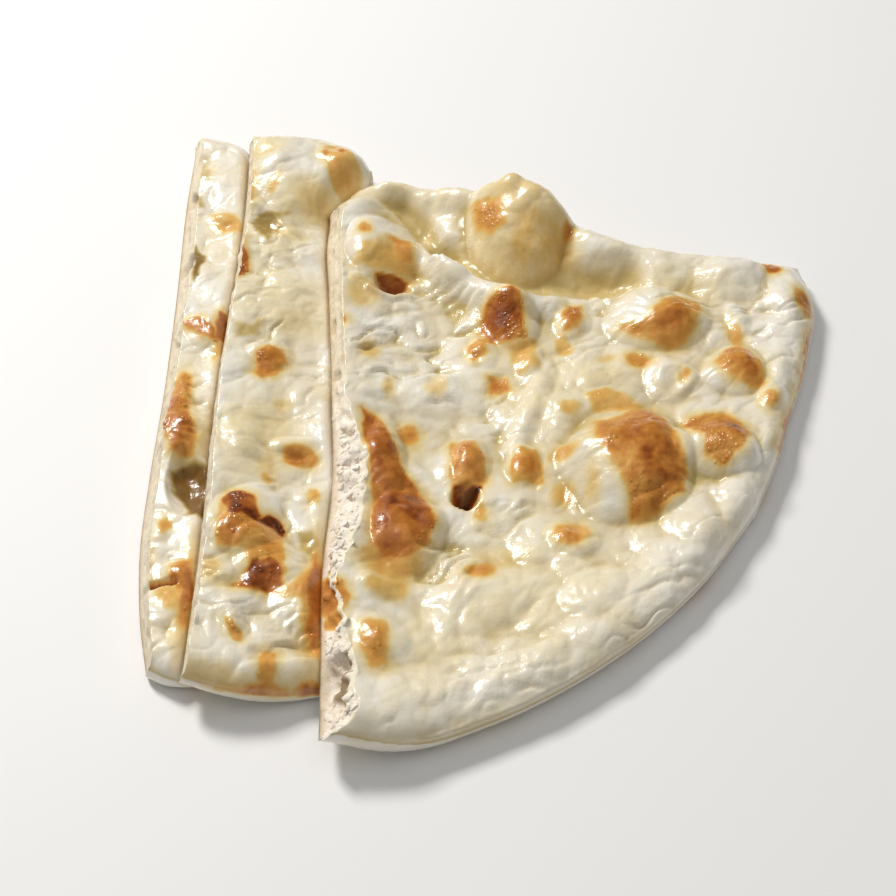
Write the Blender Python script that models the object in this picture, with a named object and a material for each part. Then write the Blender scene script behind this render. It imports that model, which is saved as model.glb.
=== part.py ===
"""Butter naan, cut into three slices that lie together as they were cut.

The flatbread is a tapering oval with a puffed rim and many bubbles. Two straight cuts run from
back to front. Each slice's left margin lies on the right margin of the slice beside it, and every
cut face leans, so its crumb shows from above. Sizes are in millimetres until place_slice scales
them to metres. X runs across the slices, Y along the cuts and Z up; the bread rests on Z = 0.
"""
import math
from collections import namedtuple

import bmesh
import bpy
import numpy as np

MM = 0.001
BREAD_MIDDLE = (12.7, 17.0)

BREAD_THICKNESS = 8.6
RIM_SWELL = 2.2
RIM_SWELL_REACH = 6.5
RIM_ROUNDING = 6.5
RIM_MID_HEIGHT = 3.0
RIM_START = 0.33
RIM_BULGE = 0.5

MARGIN_LIFT = 6.6
MARGIN_RUN = 30.0
MARGIN_TUCK = 8.0
SLICE_CLEARANCE = 1.0
SHOULDER_SLOPE = 1.7
SHOULDER_BLEND = 2.0

BUMP_WANDER = 2.0
BUMP_WANDER_SIZE = 12.0
LUMP_SIZE = 15.0
LUMP_HEIGHT = 1.5
CRUMB_SIZE = 5.0
CRUMB_DEPTH = 0.55

CELLS_ACROSS_STRIP = 26
CELLS_ACROSS_RIGHT = 84
CELLS_ALONG = 100
CELLS_UP = 4
EDGE_CROWDING = 0.6

# The outer left edge and the two cuts, each from front to back along the base of the cut face.
LEFT_EDGE = [(-76, -78), (-80, -61), (-83, -40), (-84, -10), (-84, 20), (-85, 60), (-87, 110), (-87, 135)]
FIRST_CUT = [(-66, -84), (-66, -40), (-67, 5), (-67, 35), (-66, 65), (-66, 99), (-67, 126)]
SECOND_CUT = [(-31, -100), (-32, -75), (-33, -50), (-32, -20), (-34, 17), (-37, 59), (-38.5, 78), (-38, 91)]

# How far the top edge of each leaning cut face is set in from its base, from front to back.
LEFT_EDGE_LEAN = [3.5, 4.0, 5.0, 4.5, 5.0, 5.5, 5.5, 4.5]
FIRST_CUT_LEAN = [3.0, 3.0, 3.0, 2.5, 2.5, 2.5, 3.0, 3.0]
SECOND_CUT_LEAN = [10.5, 8.5, 4.5, 9.5, 10.0, 4.5, 4.5, 4.5, 5.0, 5.5]

# Baked rims, from left to right; the right slice's right side runs from front to back.
LEFT_FRONT = [(-76, -78), (-71, -80.5), (-65, -81), (-58, -80)]
LEFT_BACK = [(-87, 135), (-80, 133.5), (-70, 128.5), (-59, 121)]
MIDDLE_FRONT = [(-66, -84), (-58, -86), (-49, -86.5), (-38, -85), (-24, -82)]
MIDDLE_BACK = [(-67, 126), (-58, 128), (-48, 128.5), (-37, 127), (-29, 122), (-25, 113)]
RIGHT_FRONT = [(-31, -100), (-18, -101), (8, -93), (38, -76), (66, -51), (84, -27)]
RIGHT_BACK = [(-38, 91), (-33, 98.5), (-24, 104.5), (-9, 106), (6, 103), (24, 97), (41, 87), (54, 80), (79, 74), (110, 69)]
RIGHT_SIDE = [(84, -27), (93, -7), (99, 10), (104, 23), (108, 36), (112, 52), (110, 69)]

Bump = namedtuple("Bump", "x y across along turn height edge")
Fold = namedtuple("Fold", "line width height")

# Bubbles stand up and hollows go down. Each has its middle, half sizes, turn in degrees, height and
# edge: under 1 it rises from a crease, over 1 it fades into the dough around it.
LEFT_BUMPS = [
    Bump(-71.8, 90.7, 5.0, 5.0, 0, 1.4, 1.3),
    Bump(-76.0, 112.0, 8.0, 12.0, 0, 2.2, 1.3),
    Bump(-72.5, 40.5, 7.0, 6.5, 0, 2.0, 1.1),
    Bump(-76.5, 4.6, 5.5, 16.0, 0, 2.4, 1.3),
    Bump(-70.5, -19.0, 6.5, 12.0, 8, -4.2, 1.1),
    Bump(-76.0, -36.0, 4.0, 5.0, 0, 1.0, 1.3),
    Bump(-70.5, -51.0, 5.0, 4.5, 0, 1.8, 1.3),
    Bump(-73.0, -61.5, 7.0, 7.0, 0, 2.4, 1.0),
]
MIDDLE_BUMPS = [
    Bump(-42.0, 107.0, 22.0, 21.0, 0, 8.5, 0.95),
    Bump(-58.0, 112.0, 11.0, 14.0, 0, 2.0, 1.3),
    Bump(-58.5, 84.0, 9.0, 5.0, -20, -3.0, 1.1),
    Bump(-48.0, 73.0, 12.0, 8.0, 10, 1.8, 1.3),
    Bump(-50.0, 52.0, 12.0, 14.0, 0, 1.6, 1.3),
    Bump(-52.3, 27.5, 6.5, 7.5, 0, 2.8, 1.1),
    Bump(-42.0, -7.5, 6.5, 5.0, 0, 1.8, 1.1),
    Bump(-56.0, -5.0, 7.0, 14.0, 0, 1.4, 1.3),
    Bump(-53.5, -36.0, 11.0, 13.0, -10, 3.8, 1.0),
    Bump(-46.5, -48.0, 9.5, 9.5, 0, 3.0, 1.0),
    Bump(-38.0, -58.5, 6.5, 12.0, 0, 2.2, 1.3),
    Bump(-54.5, -68.0, 5.0, 5.0, 0, 1.6, 1.1),
]
RIGHT_BUMPS = [
    Bump(-20.0, 73.0, 12.0, 15.0, 0, 7.0, 0.95),
    Bump(23.0, 85.0, 17.5, 24.0, -6, 13.0, 1.0),
    Bump(3.0, 91.0, 14.0, 11.0, -20, 3.0, 1.3),
    Bump(-1.0, 62.0, 9.0, 9.0, 0, 2.6, 1.3),
    Bump(17.0, 50.0, 13.0, 9.0, -15, 2.4, 1.3),
    Bump(19.0, 42.0, 8.0, 11.5, 0, 4.2, 1.0),
    Bump(9.4, 29.6, 4.5, 7.0, 20, 1.8, 1.1),
    Bump(22.9, 26.0, 4.5, 7.0, -20, 1.8, 1.1),
    Bump(36.6, 42.5, 6.0, 8.5, 0, 3.0, 1.0),
    Bump(62.0, 44.0, 17.0, 14.0, 10, 6.0, 1.0),
    Bump(85.0, 58.0, 13.0, 8.0, -8, 2.4, 1.3),
    Bump(64.9, 18.2, 8.0, 9.5, 0, 3.4, 1.0),
    Bump(66.5, 17.0, 4.5, 5.5, 0, -1.8, 1.3),
    Bump(82.6, 22.0, 10.5, 10.5, 0, 5.0, 0.95),
    Bump(86.3, 42.4, 4.0, 7.0, 0, 1.8, 1.1),
    Bump(102.0, 50.0, 7.0, 9.0, 0, 2.0, 1.3),
    Bump(92.5, 10.0, 5.0, 6.0, 0, 1.8, 1.1),
    Bump(49.5, -13.6, 19.0, 22.0, 0, 9.5, 1.0),
    Bump(73.5, -8.4, 12.0, 11.5, 0, 6.0, 1.0),
    Bump(5.2, -12.5, 5.5, 9.0, 0, 3.6, 1.0),
    Bump(3.8, -25.0, 3.4, 4.6, 0, -6.0, 1.0),
    Bump(21.2, -13.8, 6.5, 8.5, 0, 3.2, 1.0),
    Bump(-17.0, -11.0, 6.0, 15.0, 0, 3.6, 1.1),
    Bump(-11.5, -37.0, 10.5, 14.5, 0, 5.5, 1.0),
    Bump(32.9, -39.0, 8.0, 6.0, 0, 2.0, 1.1),
    Bump(34.0, 9.0, 12.0, 7.0, 0, 1.8, 1.3),
    Bump(-4.0, 14.0, 9.0, 11.0, 0, 2.4, 1.1),
    Bump(-18.5, -57.0, 7.0, 5.0, 0, 1.6, 1.3),
    Bump(-16.0, -72.0, 8.0, 7.0, 0, 2.0, 1.1),
    Bump(10.0, -58.0, 17.0, 11.0, 25, 3.0, 1.3),
    Bump(38.0, -56.0, 10.0, 8.0, 40, 2.4, 1.1),
    Bump(65.0, -33.0, 9.0, 10.0, 40, 2.6, 1.1),
    Bump(-6.0, -86.0, 13.0, 8.0, 15, 2.2, 1.3),
]

# Folds run along lines: the rolled rim at the back, the valley before it and the crest before that.
MIDDLE_FOLDS = [
    Fold([(-46.4, -77.1), (-42.0, -76.3), (-37.1, -74.8), (-32.6, -73.3)], 3.5, -1.6),
]
RIGHT_FOLDS = [
    Fold([(-30, 101), (-22, 102), (-12, 100.5), (-3, 97.5), (7, 94), (18, 91)], 6.5, 2.4),
    Fold([(30, 84), (38, 79), (45.5, 73.5), (59.4, 68.5), (74.6, 65), (90, 64)], 9.0, 3.0),
    Fold([(-33, 97.5), (-24, 98.5), (-15, 95.5), (-9, 88.5), (-4, 79), (0.6, 73.6)], 4.5, -3.4),
    Fold([(0.6, 73.6), (8.4, 67.5), (16.2, 63.1), (26.9, 59.6), (34.7, 60.5), (44, 61.3), (54.8, 62)], 8.5, -3.6),
    Fold([(-10.3, 70.3), (-2.5, 65.5), (5.2, 58.0), (12.7, 53.5), (21.7, 49.5), (30.7, 48.5)], 7.0, 3.4),
    Fold([(26.6, 17.2), (23.9, 8.6), (20.8, 0.9), (18.6, -6.6)], 4.5, 1.8),
]

Slice = namedtuple("Slice", "name front back left lean right bumps folds cells faces colour roughness")


def curve(points, along):
    """A smooth curve through the points, read at fractions of its length."""
    points = np.array(points, float)
    steps = np.linalg.norm(np.diff(points, axis=0), axis=1)
    knots = np.concatenate([[0.0], np.cumsum(steps)]) / steps.sum()
    tangents = np.gradient(points, knots, axis=0)
    first = np.clip(np.searchsorted(knots, along, side="right") - 1, 0, len(points) - 2)
    span = (knots[first + 1] - knots[first])[:, None]
    t = (np.asarray(along)[:, None] - knots[first][:, None]) / span
    rise = t * t * (3 - 2 * t)
    return (
        (1 - rise) * points[first]
        + rise * points[first + 1]
        + t * (1 - t) ** 2 * span * tangents[first]
        - t * t * (1 - t) * span * tangents[first + 1]
    )


def tucked_edge(cut, front_end, back_end):
    """A slice's hidden right edge, which reaches under the next slice's margin."""
    return [front_end] + [(x + MARGIN_TUCK, y) for x, y in cut[1:-1]] + [back_end]


def smooth_step(low, high, value):
    """0 below low, 1 above high and an even S between them."""
    t = np.clip((value - low) / (high - low), 0.0, 1.0)
    return t * t * (3 - 2 * t)


def lattice_value(column, row, salt):
    """A fixed value from -1 to 1 for each crossing of a square lattice."""
    wave = np.sin(column * 127.1 + row * 311.7 + salt * 74.7) * 43758.5453
    return 2 * (wave - np.floor(wave)) - 1


def lumps(x, y, size, salt):
    """Smooth uneven ups and downs of about the given size."""
    x, y = x / size, y / size
    column, row = np.floor(x), np.floor(y)
    s, t = x - column, y - row
    s, t = s * s * (3 - 2 * s), t * t * (3 - 2 * t)
    near = lattice_value(column, row, salt) * (1 - s) + lattice_value(column + 1, row, salt) * s
    far = lattice_value(column, row + 1, salt) * (1 - s) + lattice_value(column + 1, row + 1, salt) * s
    return near * (1 - t) + far * t


def bump_height(x, y, bumps):
    """The summed heights of round-topped bubbles and hollows."""
    total = np.zeros_like(x)
    x = x + BUMP_WANDER * lumps(x, y, BUMP_WANDER_SIZE, 5)
    y = y + BUMP_WANDER * lumps(x, y, BUMP_WANDER_SIZE, 6)
    for bump in bumps:
        cos, sin = math.cos(math.radians(bump.turn)), math.sin(math.radians(bump.turn))
        dx, dy = x - bump.x, y - bump.y
        across = (dx * cos + dy * sin) / bump.across
        along = (dy * cos - dx * sin) / bump.along
        inside = np.clip(1 - across * across - along * along, 0.0, 1.0)
        total += bump.height * inside ** bump.edge
    return total


def fold_height(x, y, folds):
    """The summed heights of the ridges and valleys that run along lines."""
    total = np.zeros_like(x)
    for fold in folds:
        away = line_distance(x, y, fold.line) / fold.width
        total += fold.height * np.clip(1 - away * away, 0.0, 1.0) ** 1.5
    return total


def soft_least(first, second, blend):
    """The lesser of two heights, with the corner between them rounded off downwards."""
    share = np.clip(0.5 + 0.5 * (second - first) / blend, 0.0, 1.0)
    return second * (1 - share) + first * share - blend * share * (1 - share)


def line_distance(x, y, line):
    """Distance from each point to the nearest stretch of a line."""
    nearest = np.full(x.shape, np.inf)
    for (ax, ay), (bx, by) in zip(line[:-1], line[1:]):
        dx, dy = bx - ax, by - ay
        t = np.clip(((x - ax) * dx + (y - ay) * dy) / (dx * dx + dy * dy), 0.0, 1.0)
        nearest = np.minimum(nearest, np.hypot(x - ax - t * dx, y - ay - t * dy))
    return nearest


def outside_distance(x, y, outline):
    """Distance to a closed outline for points outside it, and 0 inside."""
    inside = np.zeros(x.shape, bool)
    for (ax, ay), (bx, by) in zip(outline, np.roll(outline, -1, axis=0)):
        crosses = (ay > y) != (by > y)
        reach = ax + (y - ay) * (bx - ax) / np.where(by == ay, 1.0, by - ay)
        inside ^= crosses & (x < reach)
    distance = line_distance(x, y, np.vstack([outline, outline[:1]]))
    return np.where(inside, 0.0, distance)


def baked_rim(bread):
    """The part of a slice's outline that was baked, and not cut, as separate lines."""
    along = np.linspace(0, 1, 50)
    lines = [curve(bread.front, along), curve(bread.back, along)]
    if bread.name == "slice_right":
        lines.append(curve(bread.right, along))
    return lines


def whole_outline(bread):
    """The slice's closed base outline."""
    along = np.linspace(0, 1, 60)
    ring = (bread.front, bread.right, bread.back[::-1], bread.left[::-1])
    return np.vstack([curve(side, along)[:-1] for side in ring])


def plan_point(bread, u, v):
    """Coons patch between the four sides: u from left to right, v from front to back."""
    front, back = curve(bread.front, u), curve(bread.back, u)
    left, right = curve(bread.left, v), curve(bread.right, v)
    corners = [np.array(side[end], float) for side in (bread.front, bread.back) for end in (0, -1)]
    u, v = u[:, None], v[:, None]
    between = (1 - v) * front + v * back + (1 - u) * left + u * right
    shared = (1 - u) * (1 - v) * corners[0] + u * (1 - v) * corners[1]
    shared = shared + (1 - u) * v * corners[2] + u * v * corners[3]
    return between - shared


def margin_height(x, y, cut):
    """Height of the underside where a slice's left margin lies on its neighbour."""
    line = curve(cut, np.linspace(0, 1, 60))
    into_slice = x - np.interp(y, line[:, 1], line[:, 0])
    return MARGIN_LIFT * (1 - smooth_step(0, MARGIN_RUN, into_slice))


def underside(bread, x, y):
    """Floor level, or the ramp up to the neighbour's margin."""
    if bread.name == "slice_left":
        return np.zeros_like(x)
    return margin_height(x, y, bread.left)


def top_side(bread, above, x, y, salt):
    """Height of the upper skin before the rim is rounded."""
    rim = np.min([line_distance(x, y, line) for line in baked_rim(bread)], axis=0)
    swell = RIM_SWELL * np.exp(-((rim - RIM_SWELL_REACH) / RIM_SWELL_REACH) ** 2)
    height = underside(bread, x, y) + BREAD_THICKNESS + swell
    height += LUMP_HEIGHT * lumps(x, y, LUMP_SIZE, salt) * smooth_step(0, 12, rim)
    height += bump_height(x, y, bread.bumps) + fold_height(x, y, bread.folds)
    if above:
        clear = outside_distance(x, y, whole_outline(above))
        limit = margin_height(x, y, above.left) - SLICE_CLEARANCE + SHOULDER_SLOPE * clear
        height = soft_least(height, limit, SHOULDER_BLEND)
    return height


def place_slice(bread, above, points, salt):
    """Carries the points of a cube onto the slice."""
    u, v, w = (points[:, 0] + 1) / 2, (points[:, 1] + 1) / 2, points[:, 2]
    u = u - EDGE_CROWDING * np.sin(2 * math.pi * u) / (2 * math.pi)
    v = v - EDGE_CROWDING * np.sin(2 * math.pi * v) / (2 * math.pi)
    base = plan_point(bread, u, v)
    base_rim = np.min([line_distance(base[:, 0], base[:, 1], line) for line in baked_rim(bread)], axis=0)

    rounding = RIM_START + (1 - RIM_START) * rim_profile(base_rim)
    lean = np.interp(v, np.linspace(0, 1, len(bread.lean)), bread.lean)
    top = base.copy()
    top[:, 0] += lean * (1 - u) * rounding

    floor = underside(bread, base[:, 0], base[:, 1])
    skin = top_side(bread, above, top[:, 0], top[:, 1], salt)
    middle = floor + RIM_MID_HEIGHT
    low = middle - (middle - floor) * rounding
    high = np.maximum(middle + (skin - middle) * rounding, low + 1.2)

    rise = ((w + 1) / 2)[:, None]
    plan = base + (top - base) * rise
    height = low + (high - low) * rise[:, 0]

    plan += rim_bulge(bread, u, v, w)
    crumb = (u < 1e-6) * (1 - w * w) * CRUMB_DEPTH
    plan[:, 0] += crumb * lumps(plan[:, 1], height * 2, CRUMB_SIZE, salt + 5)
    placed = np.column_stack([plan - np.array(BREAD_MIDDLE), height])
    return placed * MM


def rim_profile(distance):
    """Quarter-round rise of the skin from the rim inward."""
    t = np.clip(distance / RIM_ROUNDING, 0, 1)
    return np.sqrt(1 - (1 - t) ** 2)


def rim_bulge(bread, u, v, w):
    """Outward bulge of the baked sides, greatest at mid height."""
    step = 0.01
    outward = np.zeros((len(u), 2))
    sides = [(v < 1e-6, (0, -step)), (v > 1 - 1e-6, (0, step))]
    if bread.name == "slice_right":
        sides.append((u > 1 - 1e-6, (step, 0)))
    for on_side, (du, dv) in sides:
        inner = plan_point(bread, u - du, v - dv)
        away = plan_point(bread, u, v) - inner
        away /= np.linalg.norm(away, axis=1)[:, None]
        outward[on_side] += away[on_side]
    return outward * (RIM_BULGE * (1 - w * w))[:, None]


def cube_grid(across, along, up):
    """A cube of half size 1 whose sides are divided into cells."""
    cube = bmesh.new()
    bmesh.ops.create_cube(cube, size=2)
    for axis, cells in enumerate((across, along, up)):
        edges = [e for e in cube.edges if abs(e.verts[0].co[axis] - e.verts[1].co[axis]) > 0.5]
        bmesh.ops.subdivide_edges(cube, edges=edges, cuts=cells - 1, use_grid_fill=True)
    return cube


def make_material(name, colour, roughness):
    """Plain Principled material."""
    material = bpy.data.materials.new(name)
    material.use_nodes = True
    shader = material.node_tree.nodes["Principled BSDF"]
    shader.inputs["Base Color"].default_value = (*colour, 1)
    shader.inputs["Roughness"].default_value = roughness
    shader.inputs["Metallic"].default_value = 0
    material.diffuse_color = (*colour, 1)
    return material


def make_slice(bread, above, collection, salt):
    """One slice as a single closed object."""
    cube = cube_grid(bread.cells, CELLS_ALONG, CELLS_UP)
    points = np.array([vertex.co[:] for vertex in cube.verts])
    for vertex, place in zip(cube.verts, place_slice(bread, above, points, salt)):
        vertex.co = place
    mesh = bpy.data.meshes.new(bread.name)
    cube.to_mesh(mesh)
    cube.free()
    mesh.shade_smooth()
    mesh.materials.append(make_material(bread.name + "_crust", bread.colour, bread.roughness))
    slice_object = bpy.data.objects.new(bread.name, mesh)
    collection.objects.link(slice_object)
    thinning = slice_object.modifiers.new("Fewer faces", "DECIMATE")
    thinning.ratio = bread.faces / (2 * len(mesh.polygons))
    return slice_object


def main():
    for old in list(bpy.data.objects):
        bpy.data.objects.remove(old, do_unlink=True)
    collection = bpy.data.collections.new("butter_naan")
    bpy.context.scene.collection.children.link(collection)

    crust = (0.72, 0.56, 0.33)
    left = Slice(
        "slice_left", LEFT_FRONT, LEFT_BACK, LEFT_EDGE, LEFT_EDGE_LEAN,
        tucked_edge(FIRST_CUT, LEFT_FRONT[-1], LEFT_BACK[-1]), LEFT_BUMPS, [],
        CELLS_ACROSS_STRIP, 1900, crust, 0.45,
    )
    middle = Slice(
        "slice_middle", MIDDLE_FRONT, MIDDLE_BACK, FIRST_CUT, FIRST_CUT_LEAN,
        tucked_edge(SECOND_CUT, MIDDLE_FRONT[-1], MIDDLE_BACK[-1]), MIDDLE_BUMPS, MIDDLE_FOLDS,
        CELLS_ACROSS_STRIP, 2500, crust, 0.45,
    )
    right = Slice(
        "slice_right", RIGHT_FRONT, RIGHT_BACK, SECOND_CUT, SECOND_CUT_LEAN,
        RIGHT_SIDE, RIGHT_BUMPS, RIGHT_FOLDS, CELLS_ACROSS_RIGHT, 5400, crust, 0.45,
    )
    make_slice(left, middle, collection, 1)
    make_slice(middle, right, collection, 2)
    make_slice(right, None, collection, 3)


main()
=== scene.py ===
# %% [markdown]
# # Butter naan, cut in three
# A leavened flatbread, slapped onto a hot clay wall, puffed into bubbles, toasted where the
# bubbles came nearest to the fire, brushed with butter and cut. This lesson loads the plain
# solids of its three slices and dresses them: a fine skin with every bubble, toasted marks, a
# buttery gloss, and torn white crumb on the cut faces.

# %% Load the frame
import math
from collections import namedtuple

import bmesh
import bpy
import numpy as np
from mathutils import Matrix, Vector


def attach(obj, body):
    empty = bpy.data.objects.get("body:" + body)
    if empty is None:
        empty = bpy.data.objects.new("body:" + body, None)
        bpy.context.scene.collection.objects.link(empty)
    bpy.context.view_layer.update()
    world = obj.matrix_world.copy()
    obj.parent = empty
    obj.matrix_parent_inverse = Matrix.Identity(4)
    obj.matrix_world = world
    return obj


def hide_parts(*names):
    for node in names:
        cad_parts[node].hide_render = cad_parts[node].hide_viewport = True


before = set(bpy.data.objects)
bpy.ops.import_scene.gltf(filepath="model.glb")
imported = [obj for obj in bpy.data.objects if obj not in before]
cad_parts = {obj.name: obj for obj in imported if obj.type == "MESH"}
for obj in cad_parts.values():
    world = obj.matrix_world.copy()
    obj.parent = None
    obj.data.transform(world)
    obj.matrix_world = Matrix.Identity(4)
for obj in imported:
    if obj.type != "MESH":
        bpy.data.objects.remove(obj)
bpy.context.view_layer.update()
print("loaded", sorted(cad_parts))

# %% [markdown]
# ## Camera
# The bread is seen from 49 degrees above the floor, straight along its cuts. All sizes below
# are in millimetres on the bread's own drawing, whose origin is BREAD_MIDDLE away from the
# middle of the bread's box. The camera looks at that origin.

# %% Camera
MM = 0.001
BREAD_MIDDLE = np.array([12.7, 17.0])
CAMERA_ELEVATION = math.radians(49.0)
CAMERA_DISTANCE = 430.0
CAMERA_LENS = 60.3


def to_world(x, y, z):
    """A point of the drawing, in metres in the scene."""
    return Vector(((x - BREAD_MIDDLE[0]) * MM, (y - BREAD_MIDDLE[1]) * MM, z * MM))


camera_data = bpy.data.cameras.new("camera")
camera_data.lens = CAMERA_LENS
camera_data.sensor_width = 36.0
camera_data.clip_start = 0.01
camera = bpy.data.objects.new("camera", camera_data)
bpy.context.scene.collection.objects.link(camera)
camera.location = to_world(
    0,
    -CAMERA_DISTANCE * math.cos(CAMERA_ELEVATION),
    CAMERA_DISTANCE * math.sin(CAMERA_ELEVATION),
)
camera.rotation_euler = (math.pi / 2 - CAMERA_ELEVATION, 0, 0)
bpy.context.scene.camera = camera
print("camera at", [round(value, 3) for value in camera.location])

# %% [markdown]
# ## Light and floor
# Melted butter shows as small sharp glints, so one small lamp behind and to the left makes
# them. A wide lamp above and a pale sky fill the hollows. Both are kept out of reflections,
# because a glossy skin that mirrors something wide and pale looks milky over the dark marks.

# %% Lights
SKY_COLOUR = (1.0, 0.99, 0.975, 1.0)
SKY_STRENGTH = 0.26


def add_square_lamp(name, place, size, power, colour):
    """A square lamp, in metres and watts, that looks at the middle of the bread."""
    lamp = bpy.data.lights.new(name, "AREA")
    lamp.shape = "SQUARE"
    lamp.size = size
    lamp.energy = power
    lamp.color = colour
    holder = bpy.data.objects.new(name, lamp)
    bpy.context.scene.collection.objects.link(holder)
    holder.location = place
    holder.rotation_euler = (-Vector(place)).to_track_quat("-Z", "Y").to_euler()
    return holder


add_square_lamp("window", (-0.67, 0.67, 1.0), size=0.32, power=15.8, colour=(1.0, 0.975, 0.94))
ceiling = add_square_lamp(
    "ceiling", (0.15, -0.1, 1.1), size=1.1, power=2.5, colour=(1.0, 0.99, 0.97)
)
ceiling.visible_glossy = False
world = bpy.data.worlds.new("studio")
bpy.context.scene.world = world
world.use_nodes = True
sky = world.node_tree.nodes["Background"].inputs
sky["Color"].default_value = SKY_COLOUR
sky["Strength"].default_value = SKY_STRENGTH
world.cycles_visibility.glossy = False
bpy.context.scene.view_settings.view_transform = "Standard"
print("two lamps and a pale sky")

# %% Floor
FLOOR_HALF = 1.6
FLOOR_COLOUR = (0.86, 0.86, 0.86, 1)


def new_finish(name, **values):
    """A material with its node tree and its shader, whose plain values are set by name."""
    material = bpy.data.materials.new(name)
    material.use_nodes = True
    tree = material.node_tree
    shader = tree.nodes["Principled BSDF"]
    for socket, value in values.items():
        shader.inputs[socket.replace("_", " ")].default_value = value
    return material, tree, shader


floor_mesh = bpy.data.meshes.new("floor")
floor_cage = bmesh.new()
bmesh.ops.create_grid(floor_cage, x_segments=4, y_segments=4, size=FLOOR_HALF)
floor_cage.to_mesh(floor_mesh)
floor_cage.free()
floor = bpy.data.objects.new("floor", floor_mesh)
bpy.context.scene.collection.objects.link(floor)
floor_mesh.materials.append(new_finish("pale_floor", Base_Color=FLOOR_COLOUR, Roughness=0.6)[0])
print("floor", 2 * FLOOR_HALF, "m square")

# %% [markdown]
# ## The drawing
# The same few lines draw the bread here as in its solids: the outer left edge and two cuts,
# each read from front to back, and the baked rims between them. A smooth curve runs through
# the points, and a Coons patch fills the space between four such sides, so every slice is one
# even net of cells however its outline bends. A cut leans: its LEAN is how far the top edge
# stands in from the base, read from front to back too.

# %% Outlines of the bread
LEFT_EDGE = [
    (-76, -78), (-80, -61), (-83, -40), (-84, -10), (-84, 20), (-85, 60), (-87, 110), (-87, 135),
]
FIRST_CUT = [(-66, -84), (-66, -40), (-67, 5), (-67, 35), (-66, 65), (-66, 99), (-67, 126)]
SECOND_CUT = [
    (-31, -100), (-32, -75), (-33, -50), (-32, -20), (-34, 17), (-37, 59), (-38.5, 78), (-38, 91),
]
LEFT_EDGE_LEAN = [3.5, 4.0, 5.0, 4.5, 5.0, 5.5, 5.5, 4.5]
FIRST_CUT_LEAN = [3.0, 3.0, 3.0, 2.5, 2.5, 2.5, 3.0, 3.0]
SECOND_CUT_LEAN = [10.5, 8.5, 4.5, 9.5, 10.0, 4.5, 4.5, 4.5, 5.0, 5.5]

LEFT_FRONT = [(-76, -78), (-71, -80.5), (-65, -81), (-58, -80)]
LEFT_BACK = [(-87, 135), (-80, 133.5), (-70, 128.5), (-59, 121)]
MIDDLE_FRONT = [(-66, -84), (-58, -86), (-49, -86.5), (-38, -85), (-24, -82)]
MIDDLE_BACK = [(-67, 126), (-58, 128), (-48, 128.5), (-37, 127), (-29, 122), (-25, 113)]
RIGHT_FRONT = [(-31, -100), (-18, -101), (8, -93), (38, -76), (66, -51), (84, -27)]
RIGHT_BACK = [
    (-38, 91), (-33, 98.5), (-24, 104.5), (-9, 106), (6, 103), (24, 97), (41, 87), (54, 80),
    (79, 74), (110, 69),
]
RIGHT_SIDE = [(84, -27), (93, -7), (99, 10), (104, 23), (108, 36), (112, 52), (110, 69)]
print("outlines drawn; the cuts have", len(FIRST_CUT), "and", len(SECOND_CUT), "points")

# %% Curves and the patch between them
MARGIN_TUCK = 8.0


def curve(points, along):
    """A smooth curve through the points, read at fractions of its length."""
    points = np.array(points, float)
    steps = np.linalg.norm(np.diff(points, axis=0), axis=1)
    knots = np.concatenate([[0.0], np.cumsum(steps)]) / steps.sum()
    tangents = np.gradient(points, knots, axis=0)
    first = np.clip(np.searchsorted(knots, along, side="right") - 1, 0, len(points) - 2)
    span = (knots[first + 1] - knots[first])[:, None]
    t = (np.asarray(along)[:, None] - knots[first][:, None]) / span
    rise = t * t * (3 - 2 * t)
    return (
        (1 - rise) * points[first]
        + rise * points[first + 1]
        + t * (1 - t) ** 2 * span * tangents[first]
        - t * t * (1 - t) * span * tangents[first + 1]
    )


def tucked_edge(cut, front_end, back_end):
    """A slice's hidden right edge, which reaches under the next slice's margin."""
    return [front_end] + [(x + MARGIN_TUCK, y) for x, y in cut[1:-1]] + [back_end]


def plan_point(bread, u, v):
    """Coons patch between the four sides: u from left to right, v from front to back."""
    front, back = curve(bread.front, u), curve(bread.back, u)
    left, right = curve(bread.left, v), curve(bread.right, v)
    corners = [np.array(side[end], float) for side in (bread.front, bread.back) for end in (0, -1)]
    u, v = u[:, None], v[:, None]
    between = (1 - v) * front + v * back + (1 - u) * left + u * right
    shared = (1 - u) * (1 - v) * corners[0] + u * (1 - v) * corners[1]
    shared = shared + (1 - u) * v * corners[2] + u * v * corners[3]
    return between - shared


steps_along = np.diff(curve(FIRST_CUT, np.linspace(0, 1, 40)), axis=0)
print("the first cut is", round(np.hypot(*steps_along.T).sum()), "mm long")

# %% Distances to lines and outlines


def line_distance(x, y, line):
    """Distance from each point to the nearest stretch of a line."""
    nearest = np.full(x.shape, np.inf)
    for (ax, ay), (bx, by) in zip(line[:-1], line[1:]):
        dx, dy = bx - ax, by - ay
        t = np.clip(((x - ax) * dx + (y - ay) * dy) / (dx * dx + dy * dy), 0.0, 1.0)
        nearest = np.minimum(nearest, np.hypot(x - ax - t * dx, y - ay - t * dy))
    return nearest


def outline_distance(x, y, outline):
    """Distance to a closed outline, negative inside it."""
    inside = np.zeros(x.shape, bool)
    for (ax, ay), (bx, by) in zip(outline, np.roll(outline, -1, axis=0)):
        crosses = (ay > y) != (by > y)
        reach = ax + (y - ay) * (bx - ax) / np.where(by == ay, 1.0, by - ay)
        inside ^= crosses & (x < reach)
    distance = line_distance(x, y, np.vstack([outline, outline[:1]]))
    return np.where(inside, -distance, distance)


def rim_distance(bread, x, y):
    """Distance to the baked sides of a slice."""
    along = np.linspace(0, 1, 36)
    sides = [bread.front, bread.back] + ([bread.right] if bread.right_is_baked else [])
    return np.min([line_distance(x, y, curve(side, along)) for side in sides], axis=0)


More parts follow.
